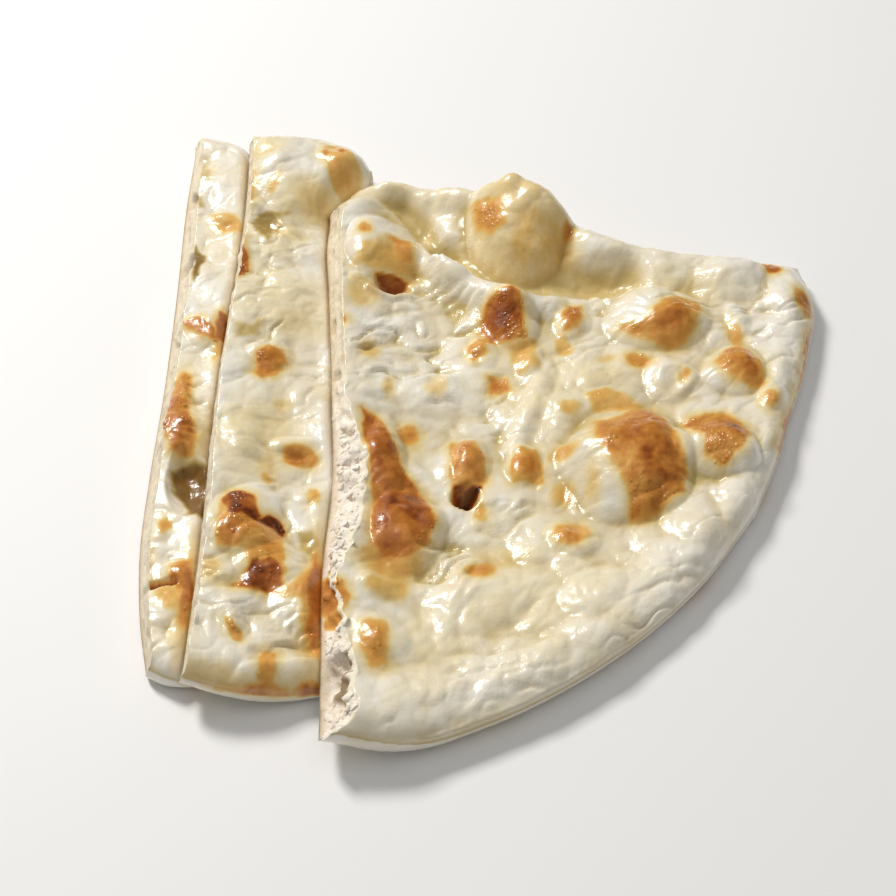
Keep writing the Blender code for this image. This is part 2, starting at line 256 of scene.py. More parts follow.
def whole_outline(bread):
    """The slice's closed base outline."""
    along = np.linspace(0, 1, 40)
    ring = (bread.front, bread.right, bread.back[::-1], bread.left[::-1])
    return np.vstack([curve(side, along)[:-1] for side in ring])


cut_middle = np.array([SECOND_CUT[4]], float).T
print("the middle slice is", round(line_distance(*cut_middle, FIRST_CUT)[0]), "mm wide")

# %% [markdown]
# ## Unevenness
# Dough is uneven at every size. Three kinds of noise are enough: smooth lumps, small round
# bubbles that crowd each other, and creases where the skin was stretched. Each reads a fixed
# value at the crossings of a lattice, so a run always gives the same bread. The salt picks
# another set of values, and every use below has a salt of its own.

# %% Noise


def smooth_step(low, high, value):
    """0 at low, 1 at high and an even S between them, whichever of the two is greater."""
    t = np.clip((value - low) / (high - low), 0.0, 1.0)
    return t * t * (3 - 2 * t)


def lattice_value(column, row, salt):
    """A fixed value from -1 to 1 for each crossing; the large factors only scatter it."""
    wave = np.sin(column * 127.1 + row * 311.7 + salt * 74.7) * 43758.5453
    return 2 * (wave - np.floor(wave)) - 1


def lumps(x, y, size, salt):
    """Smooth uneven ups and downs of about the given size."""
    x, y = x / size, y / size
    column, row = np.floor(x), np.floor(y)
    s, t = x - column, y - row
    s, t = s * s * (3 - 2 * s), t * t * (3 - 2 * t)
    near, far = [
        lattice_value(column, line, salt) * (1 - s) + lattice_value(column + 1, line, salt) * s
        for line in (row, row + 1)
    ]
    return near * (1 - t) + far * t


def layered_lumps(x, y, size, layers, salt):
    """Lumps on lumps, each layer turned, half the size and half the height."""
    total = np.zeros_like(x)
    for layer in range(layers):
        turned_x, turned_y = x * 0.8 - y * 0.6, x * 0.6 + y * 0.8
        total += lumps(turned_x, turned_y, size, salt + layer * 13) / 2 ** layer
        x, y, size = turned_x, turned_y, size / 2
    return total


def crowded_bubbles(x, y, size, salt, fullness):
    """Round domes of mixed size on a shaken lattice; 0 between them and up to 1 on top."""
    shake = 0.42
    column, row = np.floor(x / size), np.floor(y / size)
    highest = np.zeros_like(x)
    for step_x in (-1, 0, 1):
        for step_y in (-1, 0, 1):
            i, j = column + step_x, row + step_y
            middle_x = (i + 0.5 + shake * lattice_value(i, j, salt)) * size
            middle_y = (j + 0.5 + shake * lattice_value(i, j, salt + 1)) * size
            grade = 0.5 + 0.5 * lattice_value(i, j, salt + 2)
            radius = size * fullness * (0.35 + 0.65 * grade)
            away = np.hypot(x - middle_x, y - middle_y) / radius
            dome = np.clip(1 - away * away, 0, 1) ** 0.9 * (0.3 + 0.7 * grade)
            highest = np.maximum(highest, dome)
    return highest


def creases(x, y, size, salt):
    """Thin folds: 1 along the fold and falling away on both sides."""
    fold = 1 - np.abs(layered_lumps(x, y, size, 2, salt)) * 1.6
    return np.clip(fold, 0, 1) ** 3


def wandered(x, y, reach, size, layers, salts):
    """The same places pulled a little aside by lumps, so that no form stays neat."""
    pull_x, pull_y = [reach * layered_lumps(x, y, size, layers, salt) for salt in salts]
    return x + pull_x, y + pull_y


sample = lumps(*np.mgrid[0.0:60.0, 0.0:60.0], 15.0, 1)
print("lumps run from", round(sample.min(), 2), "to", round(sample.max(), 2))

# %% [markdown]
# ## Bubbles and hollows
# Each bubble of the bread is named by its middle, its half sizes, its height, the shape of its
# side and, where it isn't straight, its turn in degrees. A side of 1 is a round dome, less is
# steeper and more runs out softly. They sum up, so a small bubble can sit on a big one. The far
# end of the middle slice and the rim of the right one have the two tall hollow puffs.

# %% The bubbles
Bump = namedtuple("Bump", "x y across along height side turn", defaults=[0])

LEFT_BUMPS = [
    Bump(-71.8, 90.7, 5, 5, 1.4, 1.3),
    Bump(-76, 112, 8, 12, 2.2, 1.3),
    Bump(-82, 69, 4, 6.5, -2.2, 1),
    Bump(-72.5, 40.5, 7, 6.5, 2, 1.1),
    Bump(-76.5, 4.6, 5.5, 16, 2.4, 1.3),
    Bump(-70.5, -19, 6.5, 12, -5.4, 1, 8),
    Bump(-76, -36, 4, 5, 1, 1.3),
    Bump(-70.5, -51, 5, 4.5, 1.8, 1.3),
    Bump(-73, -61.5, 7, 7, 2.4, 1),
]
MIDDLE_BUMPS = [
    Bump(-42, 107, 23, 22, 8.5, 1.15),
    Bump(-58, 112, 11, 14, 1.6, 1.8),
    Bump(-58.5, 84, 9, 5, -3, 1.1, -20),
    Bump(-48, 73, 12, 8, 1.8, 1.3, 10),
    Bump(-50, 52, 12, 14, 1.6, 1.3),
    Bump(-52.3, 27.5, 6.5, 7.5, 2.8, 1.1),
    Bump(-42, -7.5, 6.5, 5, 1.8, 1.1),
    Bump(-56, -5, 7, 14, 1.4, 1.3),
    Bump(-53.5, -36, 11, 13, 3.8, 1, -10),
    Bump(-46.5, -48, 9.5, 9.5, 3, 1),
    Bump(-38, -58.5, 6.5, 12, 2.2, 1.3),
    Bump(-54.5, -68, 5, 5, 1.6, 1.1),
]
RIGHT_BUMPS = [
    Bump(-20, 73, 12, 15, 6, 0.95),
    Bump(23, 85, 17.5, 24, 13, 1, -6),
    Bump(3, 91, 14, 11, 3, 1.3, -20),
    Bump(-1, 62, 9, 9, 2.6, 1.3),
    Bump(17, 50, 13, 9, 2.4, 1.3, -15),
    Bump(19, 42, 8, 11.5, 4.2, 1),
    Bump(9.4, 29.6, 4.5, 7, 1.8, 1.1, 20),
    Bump(22.9, 26, 4.5, 7, 1.8, 1.1, -20),
    Bump(36.6, 42.5, 6, 8.5, 3, 1),
    Bump(62, 44, 17, 14, 6, 1, 10),
    Bump(85, 58, 13, 8, 2.4, 1.3, -8),
    Bump(64.9, 18.2, 8, 9.5, 3.4, 1),
    Bump(66.5, 17, 4.5, 5.5, -1.8, 1.3),
    Bump(82.6, 22, 10.5, 10.5, 5, 0.95),
    Bump(86.3, 42.4, 4, 7, 1.8, 1.1),
    Bump(102, 50, 7, 9, 2, 1.3),
    Bump(92.5, 10, 5, 6, 1.8, 1.1),
    Bump(49.5, -13.6, 19, 22, 9.5, 1),
    Bump(73.5, -8.4, 12, 11.5, 6, 1),
    Bump(5.2, -12.5, 5.5, 9, 3.6, 1),
    Bump(3.8, -25, 3.4, 4.6, -6, 1),
    Bump(21.2, -13.8, 6.5, 8.5, 3.2, 1),
    Bump(-17, -11, 6, 15, 3.6, 1.1),
    Bump(-11.5, -37, 10.5, 14.5, 5.5, 1),
    Bump(32.9, -39, 8, 6, 2, 1.1),
    Bump(34, 9, 12, 7, 1.8, 1.3),
    Bump(-4, 14, 9, 11, 2.4, 1.1),
    Bump(-18.5, -57, 7, 5, 1.6, 1.3),
    Bump(-16, -72, 8, 7, 2, 1.1),
    Bump(10, -58, 17, 11, 3, 1.3, 25),
    Bump(38, -56, 10, 8, 2.4, 1.1, 40),
    Bump(65, -33, 9, 10, 2.6, 1.1, 40),
    Bump(-6, -86, 13, 8, 2.2, 1.3, 15),
    # the hollow of the tear, and four crumbs baked onto the skin
    Bump(-17, 57.5, 5.5, 3.2, -2.8, 0.9),
    Bump(-4.5, 66, 1.8, 1.8, 1.4, 0.7),
    Bump(-2, 64.5, 1.2, 1.4, 0.9, 0.7),
    Bump(45, 56, 2.2, 1.8, 1.4, 0.7),
    Bump(49, 54.5, 1.4, 1.6, 1, 0.7),
]
print("bubbles:", len(LEFT_BUMPS), len(MIDDLE_BUMPS), len(RIGHT_BUMPS))

# %% [markdown]
# ## Folds
# A rim that rolled over in the heat, and the valley in front of it, are too long for a bubble.
# A fold follows a line instead, with a half width and a height, and a valley is a fold with a
# height below zero. So are the crack in the left slice and the dent in the middle one.

# %% The folds
Fold = namedtuple("Fold", "line width height")

LEFT_FOLDS = [
    Fold([(-81, -55), (-77, -54), (-74, -53.5), (-71, -53)], 1.5, -2.4),
]
MIDDLE_FOLDS = [
    Fold([(-46.4, -77.1), (-42, -76.3), (-37.1, -74.8), (-32.6, -73.3)], 3.5, -1.6),
]
RIGHT_FOLDS = [
    # the rolled back rim, in two stretches
    Fold([(-30, 101), (-22, 102), (-12, 100.5), (-3, 97.5), (7, 94), (18, 91)], 6.5, 2.4),
    Fold([(30, 84), (38, 79), (45.5, 73.5), (59.4, 68.5), (74.6, 65), (90, 64)], 9, 3),
    # the valley before it
    Fold([(-33, 97.5), (-24, 98.5), (-15, 95.5), (-9, 88.5), (-4, 79), (0.6, 73.6)], 4.5, -3.4),
    Fold([
        (0.6, 73.6), (8.4, 67.5), (16.2, 63.1), (26.9, 59.6), (34.7, 60.5), (44, 61.3),
        (54.8, 62),
    ], 8.5, -3.6),
    # the crest before the valley, and a ridge in the middle
    Fold([
        (-10.3, 70.3), (-2.5, 65.5), (5.2, 58), (12.7, 53.5), (21.7, 49.5), (30.7, 48.5),
    ], 7, 3.4),
    Fold([(26.6, 17.2), (23.9, 8.6), (20.8, 0.9), (18.6, -6.6)], 4.5, 1.8),
    # the lip over the tear
    Fold([(-24, 53), (-20, 51.5), (-16, 51), (-12, 54.5)], 1.6, 1.5),
]
print("folds:", len(LEFT_FOLDS), len(MIDDLE_FOLDS), len(RIGHT_FOLDS))

# %% Heights of bubbles and folds
BUMP_WANDER = 2.0
BUMP_WANDER_SIZE = 12.0


def oval_distance(x, y, spot):
    """0 in the middle of an oval, 1 on its edge and more outside."""
    cos, sin = math.cos(math.radians(spot.turn)), math.sin(math.radians(spot.turn))
    dx, dy = x - spot.x, y - spot.y
    return np.hypot((dx * cos + dy * sin) / spot.across, (dy * cos - dx * sin) / spot.along)


def bump_height(x, y, bumps):
    """The summed heights of round-topped bubbles and hollows."""
    total = np.zeros_like(x)
    x = x + BUMP_WANDER * lumps(x, y, BUMP_WANDER_SIZE, 5)
    y = y + BUMP_WANDER * lumps(x, y, BUMP_WANDER_SIZE, 6)
    for bump in bumps:
        inside = np.clip(1 - oval_distance(x, y, bump) ** 2, 0.0, 1.0)
        total += bump.height * inside ** bump.side
    return total


def fold_height(x, y, folds):
    """The summed heights of the ridges and valleys that run along lines."""
    total = np.zeros_like(x)
    for fold in folds:
        away = line_distance(x, y, fold.line) / fold.width
        total += fold.height * np.clip(1 - away * away, 0.0, 1.0) ** 1.5
    return total


def soft_least(first, second, reach):
    """The lesser of two heights, with the corner between them rounded off downwards."""
    share = np.clip(0.5 + 0.5 * (second - first) / reach, 0.0, 1.0)
    return second * (1 - share) + first * share - reach * share * (1 - share)


puff = bump_height(np.array([-42.0]), np.array([107.0]), MIDDLE_BUMPS)[0]
print("the puff rises", round(puff, 1), "mm above the dough")

# %% [markdown]
# ## Toasted marks
# The fire browns the bubbles and the thin edges. A mark is an oval, or a patch with an outline
# of its own where the real one is hooked or forked. It has a strength, about 0.3 for pale gold,
# 0.5 golden, 0.7 brown, 0.85 rust and 1 charred, and an edge, which is the millimetres over
# which it fades. Where marks overlap the darker one shows, so a charred core can lie on golden
# ground. Noise bends every outline, so no mark is a neat shape.

# %% Marks of the left slice
Mark = namedtuple("Mark", "x y across along strength edge turn", defaults=[0])
Patch = namedtuple("Patch", "outline strength edge")

LEFT_MARKS = [
    # the far end
    Patch([(-76, 92), (-69, 92), (-67, 89), (-69, 85), (-74, 86)], 0.4, 2),
    Mark(-81, 112, 2.5, 3.5, 0.18, 2.5),
    Mark(-70.5, 88, 3.5, 3.5, 0.42, 2),
    # the hooked mark on the round bubble
    Patch([(-80, 43), (-75, 43), (-70, 38), (-69, 34), (-73, 36), (-78, 39)], 0.74, 1.2),
    Patch([(-69, 47), (-67, 47), (-67, 36), (-70, 35)], 0.82, 0.8),
    Mark(-69, 31.5, 1, 3.5, 0.4, 1.5),
    # the long bubble by the outer edge
    Patch([
        (-80, 14), (-77, 22), (-75, 21), (-75, 11), (-72, 0), (-71, -9), (-76, -9), (-81, 1),
        (-82, 8),
    ], 0.66, 1.6),
    Mark(-77.5, 18.5, 1, 3, 0.5, 1.5),
    # the front bubble, and the crack beside it, painted near-black as the shade inside it
    Patch([
        (-75, -57), (-74, -54), (-69, -55), (-67, -58), (-68, -62), (-72, -63), (-75, -60),
    ], 0.38, 1.6),
    Patch([
        (-72, -49), (-70, -47), (-67, -46), (-67, -62), (-68, -60), (-70, -56), (-72, -52),
    ], 0.6, 1.4),
    Patch([
        (-81, -54), (-77, -53), (-71, -52.5), (-71, -53.5), (-77, -54.5), (-81, -56),
    ], 0.95, 0.5),
    Mark(-67.5, -55.5, 1.5, 7.5, 0.73, 1.2),
    Mark(-67.5, -64, 1.5, 3, 0.58, 1.5),
    # small spots
    Mark(-76, -34.5, 1.5, 2.5, 0.46, 1.5),
    Mark(-78.5, -45.5, 1.5, 3.5, 0.2, 2),
]
print("marks on the left slice:", len(LEFT_MARKS))

# %% Marks of the middle slice
MIDDLE_MARKS = [
    # the puff at the far end
    Patch([
        (-41, 116), (-35, 118), (-30, 112), (-28, 108), (-29, 104), (-33, 99), (-37, 100),
        (-40, 107),
    ], 0.4, 1.6),
    Mark(-40, 112, 1, 2.5, 0.66, 1.2),
    Mark(-34.5, 113, 1.5, 2.5, 0.66, 1.2),
    # faint gold at the foot of the puff, painted shade
    Mark(-42, 93, 9, 5.5, 0.24, 6),
    # spots by the first cut
    Patch([(-66, 76), (-62, 67), (-61.5, 60), (-64, 56), (-66, 60)], 0.8, 0.9),
    Mark(-63.5, 98, 1.5, 5, 0.5, 1.5),
    Mark(-56, 98, 1.5, 3, 0.36, 1.5, -20),
    # two round bubbles further forward
    Patch([
        (-56, 18), (-55, 25), (-52, 28), (-48, 29), (-47, 24), (-50, 18), (-54, 16),
    ], 0.6, 1.4),
    Mark(-52.5, 20.5, 3, 2.5, 0.67, 1.5, 20),
    Mark(-41.5, -10.5, 4.5, 3.5, 0.6, 1.2, -8),
    Mark(-41, -10.5, 2.5, 2.5, 0.67, 1.5),
    # the charred bubble: golden ground, dark crown, ring and lower edge
    Patch([
        (-60, -32), (-58, -28), (-55, -28), (-51, -31), (-49, -36), (-45, -35), (-44, -37),
        (-42, -49), (-42, -56), (-48, -58), (-53, -58), (-52, -53), (-53, -47), (-60, -46),
        (-61, -39),
    ], 0.5, 1.2),
    Mark(-57.5, -41.5, 3, 4.5, 0.66, 1.6),
    Patch([
        (-60, -32), (-58, -28), (-55, -28), (-51, -31), (-50, -35), (-50, -38), (-54, -37),
        (-57, -38),
    ], 0.93, 1),
    Mark(-55, -34, 3, 2, 0.94, 1.5, -20),
    Patch([
        (-51, -38), (-49, -36), (-47, -35), (-45, -35), (-43.5, -37.5), (-44, -40), (-46, -38),
        (-48, -38.5),
    ], 0.92, 0.8),
    Patch([
        (-51, -50), (-46, -49), (-43, -51), (-42, -56), (-48, -58), (-53, -58), (-52, -53),
    ], 0.86, 1.2),
    Mark(-48, -57, 4.5, 1, 0.88, 1.2),
    # the brown seam along the second cut
    Patch([
        (-36, -49), (-31, -46), (-31, -71), (-35, -71), (-37, -66), (-38, -61), (-42, -59),
        (-39, -55),
    ], 0.5, 2),
    Mark(-34, -59, 2, 12.5, 0.78, 1.6),
    # the front rim, with a drop and a leaf behind it
    Patch([(-46, -76), (-43, -76), (-42, -82), (-44, -86), (-47, -84)], 0.54, 1.2),
    Patch([
        (-56, -68), (-53, -70), (-51, -72), (-51, -74.5), (-52.5, -74.5), (-54.5, -72),
    ], 0.46, 0.9),
    Patch([
        (-57, -87), (-49, -85.5), (-43, -84.5), (-38, -85), (-34, -82), (-31, -81), (-31, -90),
        (-57, -90),
    ], 0.58, 1.2),
    Mark(-33, -85, 4, 2.5, 0.76, 1.5),
    Mark(-58, -85, 6, 2.5, 0.24, 2, -10),
    # small spots
    Mark(-47, 7.5, 2, 2.5, 0.24, 2),
    Mark(-37, -25, 1.5, 2.5, 0.44, 1.5),
    Mark(-49.5, -16, 2.5, 5.5, 0.22, 3),
    Mark(-49.5, -21, 1, 1.5, 0.42, 1.2),
    Mark(-60.5, -53.5, 2.5, 3, 0.28, 2),
    # wide faint gold
    Mark(-60.5, 114.5, 6.5, 5.5, 0.14, 5),
    Mark(-52, -5, 9, 15, 0.11, 6),
    Mark(-50, 48, 12, 14, 0.08, 6),
    Mark(-57, 66, 7, 16, 0.09, 6),
    Mark(-51.5, 79.5, 5.5, 4, 0.14, 4),
]
print("marks on the middle slice:", len(MIDDLE_MARKS))

# %% Marks of the right slice
RIGHT_MARKS = [
    # the wedge by the second cut, and the gold before it
    Patch([
        (-24, 3), (-20, 1), (-17, -6), (-14, -13), (-12, -19), (-9, -23), (-5, -29), (-4, -36),
        (-6, -43), (-11, -47), (-17, -47), (-20, -43), (-20, -34), (-21, -23), (-23, -10),
    ], 0.71, 1),
    Patch([(-20, -44), (-6, -43), (-5, -47), (-11, -53), (-19, -52)], 0.3, 3),
    Mark(-14, -47.5, 7.5, 5.5, 0.42, 4, 10),
    Mark(-15.5, -56.5, 4.5, 3.5, 0.36, 2),
    # the blond bubble in the back corner, with a tear before it painted dark rust as its shade
    Patch([(-29, 61), (-27, 67), (-21, 71), (-15, 75), (-11, 72), (-10, 63), (-17, 61)], 0.36, 2),
    Patch([(-17, 74), (-12, 75), (-11, 66), (-16, 65)], 0.54, 1.6),
    Patch([(-22, 59), (-12, 61), (-14, 56), (-17, 53), (-21, 54)], 0.82, 0.8),
    Patch([(-29, 56), (-23, 56), (-21, 49), (-26, 45), (-29, 49)], 0.26, 2),
    Mark(-26, 75.5, 2, 2.5, 0.54, 1.2),
    # the high puff of the back rim
    Patch([(8, 88), (12, 87), (17, 83), (17, 76), (14, 74), (9, 79)], 0.52, 2.2),
    Mark(23, 80, 15, 20, 0.19, 5),
    Mark(28, 72, 10, 9, 0.27, 5),
    Mark(37, 77, 1.5, 2.5, 0.62, 1.3),
    # the chestnut bubble in the middle, and its neighbours
    Patch([
        (11, 46), (14, 49), (19, 49), (22, 47), (23, 42), (23, 34), (13, 34), (10, 39),
    ], 0.7, 1.4),
    Patch([(6, 31), (9, 35), (12, 36), (11, 29), (8, 26)], 0.58, 1.4),
    Patch([(18, 33), (26, 34), (26, 23), (21, 22)], 0.36, 2),
    Patch([(12, 21), (17, 21), (18, 15), (12, 14)], 0.6, 1.2),
    Patch([(34, 43), (36, 49), (40, 50), (41, 44), (39, 39), (35, 38)], 0.62, 1.6),
    Mark(34.5, 33.5, 2, 4, 0.36, 1.5),
    # two drops half way down; the left one ends in an open hole, painted near-black as its shade
    Patch([(18, -13), (20, -8), (24, -8), (26, -13), (26, -20), (17, -20)], 0.5, 1),
    Patch([(22, -11), (24, -11), (25, -18), (22, -18)], 0.62, 1.6),
    Patch([(1, -5), (8, -6), (10, -11), (10, -20), (1, -21)], 0.56, 1.4),
    Patch([(1, -21), (9, -21), (8, -25), (5, -28), (2, -26)], 0.97, 1),
    Mark(8.5, -30.5, 1.5, 3, 0.46, 1.2),
    # two wide bubbles towards the right rim, and spots beside them
    Patch([
        (52, 38), (59, 38), (64, 44), (69, 48), (74, 49), (76, 45), (74, 38), (70, 33), (65, 31),
        (59, 33),
    ], 0.56, 1.8),
    Patch([(63, 40), (68, 45), (72, 46), (73, 40), (69, 35), (65, 33)], 0.66, 3),
    Patch([
        (77, 22), (81, 29), (86, 30), (90, 26), (92, 21), (91, 16), (87, 14), (82, 17),
    ], 0.56, 1.8),
    Patch([(84, 27), (88, 26), (91, 21), (90, 17), (87, 19)], 0.66, 2),
    Mark(55.5, 27, 3.5, 2.5, 0.56, 1.2, -5),
    Mark(46.5, 27.5, 2.5, 2, 0.26, 2),
    Mark(68.5, 19, 1, 1.5, 0.46, 1.5),
    # the great bubble, and the redder one beside it
    Patch([
        (41, 1), (44, -1), (49, 1), (53, 6), (58, 6), (62, -3), (64, -11), (65, -18), (63, -24),
        (59, -29), (54, -33), (49, -34), (48, -28), (46, -22), (43, -15), (40, -9),
    ], 0.6, 1.8),
    Patch([(50, -2), (54, -4), (57, -12), (57, -22), (54, -28), (51, -24), (50, -14)], 0.7, 3),
    Patch([(40, 12), (45, 15), (50, 13), (54, 9), (60, 3), (56, 3), (48, 6), (42, 6)], 0.4, 1.8),
    Patch([
        (66, 0), (69, 3), (75, 4), (79, 4), (83, 0), (84, -7), (80, -12), (74, -16), (71, -13),
        (71, -8), (69, -6),
    ], 0.64, 1.4),
    Patch([(75, 2), (79, 2), (82, -2), (82, -7), (78, -9), (76, -4)], 0.76, 2.4),
    # patches along the front of the second cut
    Patch([(-32, -55), (-26, -57), (-25, -62), (-27, -67), (-32, -71)], 0.56, 1.2),
    Patch([(-22, -70), (-16, -68), (-15, -80), (-19, -81), (-22, -76)], 0.52, 1.4),
    # the right rim
    Patch([
        (112, 56), (111, 50), (107, 35), (103, 22), (98, 9), (92, -6), (96, -7), (102, 8),
        (107, 23), (111, 36), (115, 52), (115, 57),
    ], 0.66, 0.4),
    Mark(107.5, 50, 2.5, 4, 0.63, 1.5),
    Mark(100.5, 64, 2.5, 2.5, 0.73, 1.2),
    Mark(92, 9.5, 1.5, 2.5, 0.54, 1.2),
    Mark(85.5, 37, 1.5, 4, 0.5, 1.2, 15),
    # small spots
    Mark(-23, 28, 2, 3, 0.3, 2),
    Mark(-32.5, 38.5, 2, 1.5, 0.67, 1),
    Mark(-3.5, 15.5, 2.5, 3.5, 0.28, 2),
    Mark(-16.5, 13, 1, 2.5, 0.28, 1.5),
    Mark(-11, -3.5, 3, 3.5, 0.54, 1.2),
    Mark(8.5, -49.5, 3.5, 2.5, 0.52, 1.5),
    Mark(13, -45.5, 6.5, 2.5, 0.2, 3),
    Mark(32.5, -38, 5, 4, 0.54, 1.4),
    Mark(34.5, 6.5, 2.5, 2, 0.4, 2),
    Mark(32, -10.5, 3.5, 2.5, 0.4, 2),
    Mark(31, -23.5, 2.5, 3, 0.34, 2),
    Mark(39, -23, 1.5, 4, 0.28, 2),
    # wide faint gold
    # the first two lie in the valleys before the back rim: their gold is painted shade
    Mark(-15, 96, 18, 6, 0.1, 5, -8),
    Mark(58, 58, 24, 7, 0.1, 5, -8),
    Mark(30, 20, 20, 16, 0.07, 8),
    Mark(20, -60, 34, 12, 0.08, 8, 30),
]
print("marks on the right slice:", len(RIGHT_MARKS))

# %% How toasted the skin is
HALO_STRENGTH = 0.22
HALO_WIDTH = 4.0


def distance_beyond(x, y, mark):
    """Distance in millimetres outside a mark's edge, negative inside."""
    if isinstance(mark, Patch):
        return outline_distance(x, y, mark.outline)
    return (oval_distance(x, y, mark) - 1) * min(mark.across, mark.along)


def toast(x, y, marks, salt):
    """How toasted each point of the skin is, from 0 to a little over 1."""
    near_x, near_y = wandered(x, y, 0.8, 6.0, 4, (salt, salt + 50))
    darkest = np.zeros_like(x)
    for mark in marks:
        beyond = distance_beyond(near_x, near_y, mark)
        reach = smooth_step(1.2 * mark.edge, -0.5 * mark.edge, beyond)
        middle = 0.86 + 0.14 * smooth_step(0.0, -4.0, beyond)
        halo = HALO_STRENGTH * smooth_step(HALO_WIDTH, 0.0, beyond)
        halo = halo * smooth_step(0.3, 0.6, mark.strength)
        darkest = np.maximum(darkest, np.maximum(mark.strength * reach * middle, halo))
    return darkest * (1 + 0.15 * layered_lumps(x, y, 4.5, 3, salt + 90))


crown = toast(np.array([-56.0]), np.array([-33.0]), MIDDLE_MARKS, 14)[0]
print("the charred crown is toasted to", round(crown, 2))

# %% [markdown]
# ## Crinkles, and hollows with butter and painted shade
# Two more things need a map. Where the skin was stretched and sank back it lies in fine
# crinkles: an oval marks each field, and a strength of 1 makes them about a millimetre deep.
# Between bubbles the thin skin holds butter and lies in shade, and one olive paints both, so
# it is partly painted shade. The strength goes from a faint tint to 1, and beyond 1 it is a
# pore or a deep hollow, painted dark brown as its shadow.

# %% Crinkles
LEFT_CRINKLES = [
    Mark(-72, 10, 3, 14, 1, 2),
    Mark(-66, 78, 5, 9, 0.6, 2),
    Mark(-72, -70, 6, 6, 0.7, 2),
]
MIDDLE_CRINKLES = [
    Mark(-52, 36, 7, 6, 1, 2),
    Mark(-58, 56, 6, 14, 0.7, 3),
    Mark(-43, -28, 8, 12, 0.6, 3),
    Mark(-37, 10, 5, 16, 0.7, 2),
    Mark(-46, 76, 8, 6, 0.7, 2),
    Mark(-60, -60, 6, 12, 0.8, 2),
    Mark(-42, -68, 12, 6, 0.9, 2, -20),
]
RIGHT_CRINKLES = [
    Mark(-15.5, 29, 15, 17, 1.3, 4),
    Mark(-4, 17, 10, 8, 1, 3),
    Mark(-8, 57, 9, 6, 1, 3, -20),
    Mark(14, 8, 6, 12, 1, 2, 15),
    Mark(40, 30, 8, 8, 0.6, 3),
    Mark(74, 50, 10, 6, 0.7, 3),
    Mark(-1.5, -48, 8, 8, 1.3, 2, 25),
    Mark(6.5, 46, 7, 9, 0.9, 2),
    Mark(15, -32, 9, 7, 0.7, 2),
    Mark(97, 46, 11, 11, 0.8, 3),
    Mark(100, 26, 6, 9, 0.7, 3),
    Mark(56, 48, 10, 7, 0.6, 2),
    Mark(60, -62, 22, 10, 0.6, 4, 40),
    Mark(12, -80, 18, 9, 0.6, 4, 25),
]
print("crinkles:", len(LEFT_CRINKLES), len(MIDDLE_CRINKLES), len(RIGHT_CRINKLES))

# %% Oily hollows, with painted shade
# Olive that is partly butter and partly painted shade; above 1 it is painted shadow.
LEFT_OIL_AND_SHADE = [
    # the hollow under the middle slice's margin, painted dark as its shadow
    Patch([
        (-77, -15), (-75, -19), (-73, -24), (-71, -30), (-66, -32), (-66, -12), (-69, -10),
        (-73, -11),
    ], 2, 1.2),
    Patch([(-85, 123), (-78, 114), (-78, 106), (-83, 110)], 0.9, 1.5),
    Patch([(-84, 106), (-80, 101), (-80, 96), (-82, 96)], 1, 1.2),
    Patch([
        (-85, 82), (-80, 77), (-77, 70), (-76, 62), (-78, 60), (-79, 66), (-83, 75), (-86, 77),
    ], 1.8, 1),
    Patch([(-82, -38), (-77, -42), (-76, -50), (-80, -47)], 1, 1.4),
    Patch([(-70, 11), (-67, 11), (-66, -12), (-70, -6)], 0.8, 2),
]
MIDDLE_OIL_AND_SHADE = [
    Patch([
        (-62, 82), (-59, 86), (-51, 88), (-53, 83), (-56, 72), (-58, 74), (-61, 76),
    ], 1.5, 1.2),
    Patch([(-63, 38), (-55, 40), (-56, 35), (-62, 32)], 1, 1.5),
    Patch([(-40, -38), (-35, -37), (-34, -41), (-36, -44), (-39, -43)], 1.2, 1.5),
    Patch([(-65, 76), (-62, 74), (-62, 60), (-64, 58)], 0.8, 1.4),
    Mark(-42, 88, 9, 4, 0.45, 3),
    Mark(-47, 40, 7, 5, 0.35, 3, 20),
    Mark(-42, 20, 6, 14, 0.25, 4, 10),
    Mark(-57, -16, 5, 8, 0.25, 3),
    Mark(-40, -75, 9, 3, 0.4, 2, 20),
]
RIGHT_OIL_AND_SHADE = [
    Patch([(-31, 57), (-24, 57), (-22, 50), (-27, 44), (-31, 46)], 0.5, 2.5),
    Mark(-20, 47, 9, 4, 0.45, 2, -10),
    Mark(-24, 26, 4, 8, 0.35, 2),
    Mark(-4, 4, 16, 5, 0.35, 3, 10),
    Mark(30, -6, 6, 6, 0.35, 3),
    Mark(36, -24, 6, 10, 0.3, 3),
    Mark(56, 14, 14, 5, 0.35, 3, -15),
    Mark(74, 34, 6, 5, 0.3, 3),
    Mark(22, 62, 20, 4, 0.45, 3, -18),
    Mark(-10, 84, 4, 12, 0.45, 2, 30),
]


def greatest_strength(x, y, marks):
    """The strength of the strongest mark at each point, fading across its uneven edge."""
    greatest = np.zeros_like(x)
    near_x, near_y = wandered(x, y, 1.6, 7.0, 3, (21, 22))
    for mark in marks:
        fading = smooth_step(mark.edge, -mark.edge, distance_beyond(near_x, near_y, mark))
        greatest = np.maximum(greatest, mark.strength * fading)
    return greatest


print("oily hollows:", len(LEFT_OIL_AND_SHADE), len(MIDDLE_OIL_AND_SHADE), len(RIGHT_OIL_AND_SHADE))

# %% [markdown]
# ## Heights
# The skin's height is the bread's thickness, plus a swollen rim, the named bubbles and the
# noise. Near a baked side it rolls down a quarter round. A left margin lies on its neighbour,
# so its underside ramps up there, and the neighbour's skin stays just below that ramp.

# %% Height of the underside and the rim
MARGIN_LIFT = 6.6
MARGIN_RUN = 30.0
RIM_ROUNDING = 6.5
RIM_START = 0.33

Slice = namedtuple(
    "Slice",
    "name salt across along front back left lean lies_on_another right right_is_baked torn "
    "bumps folds marks crinkles stains pores drapes",
)


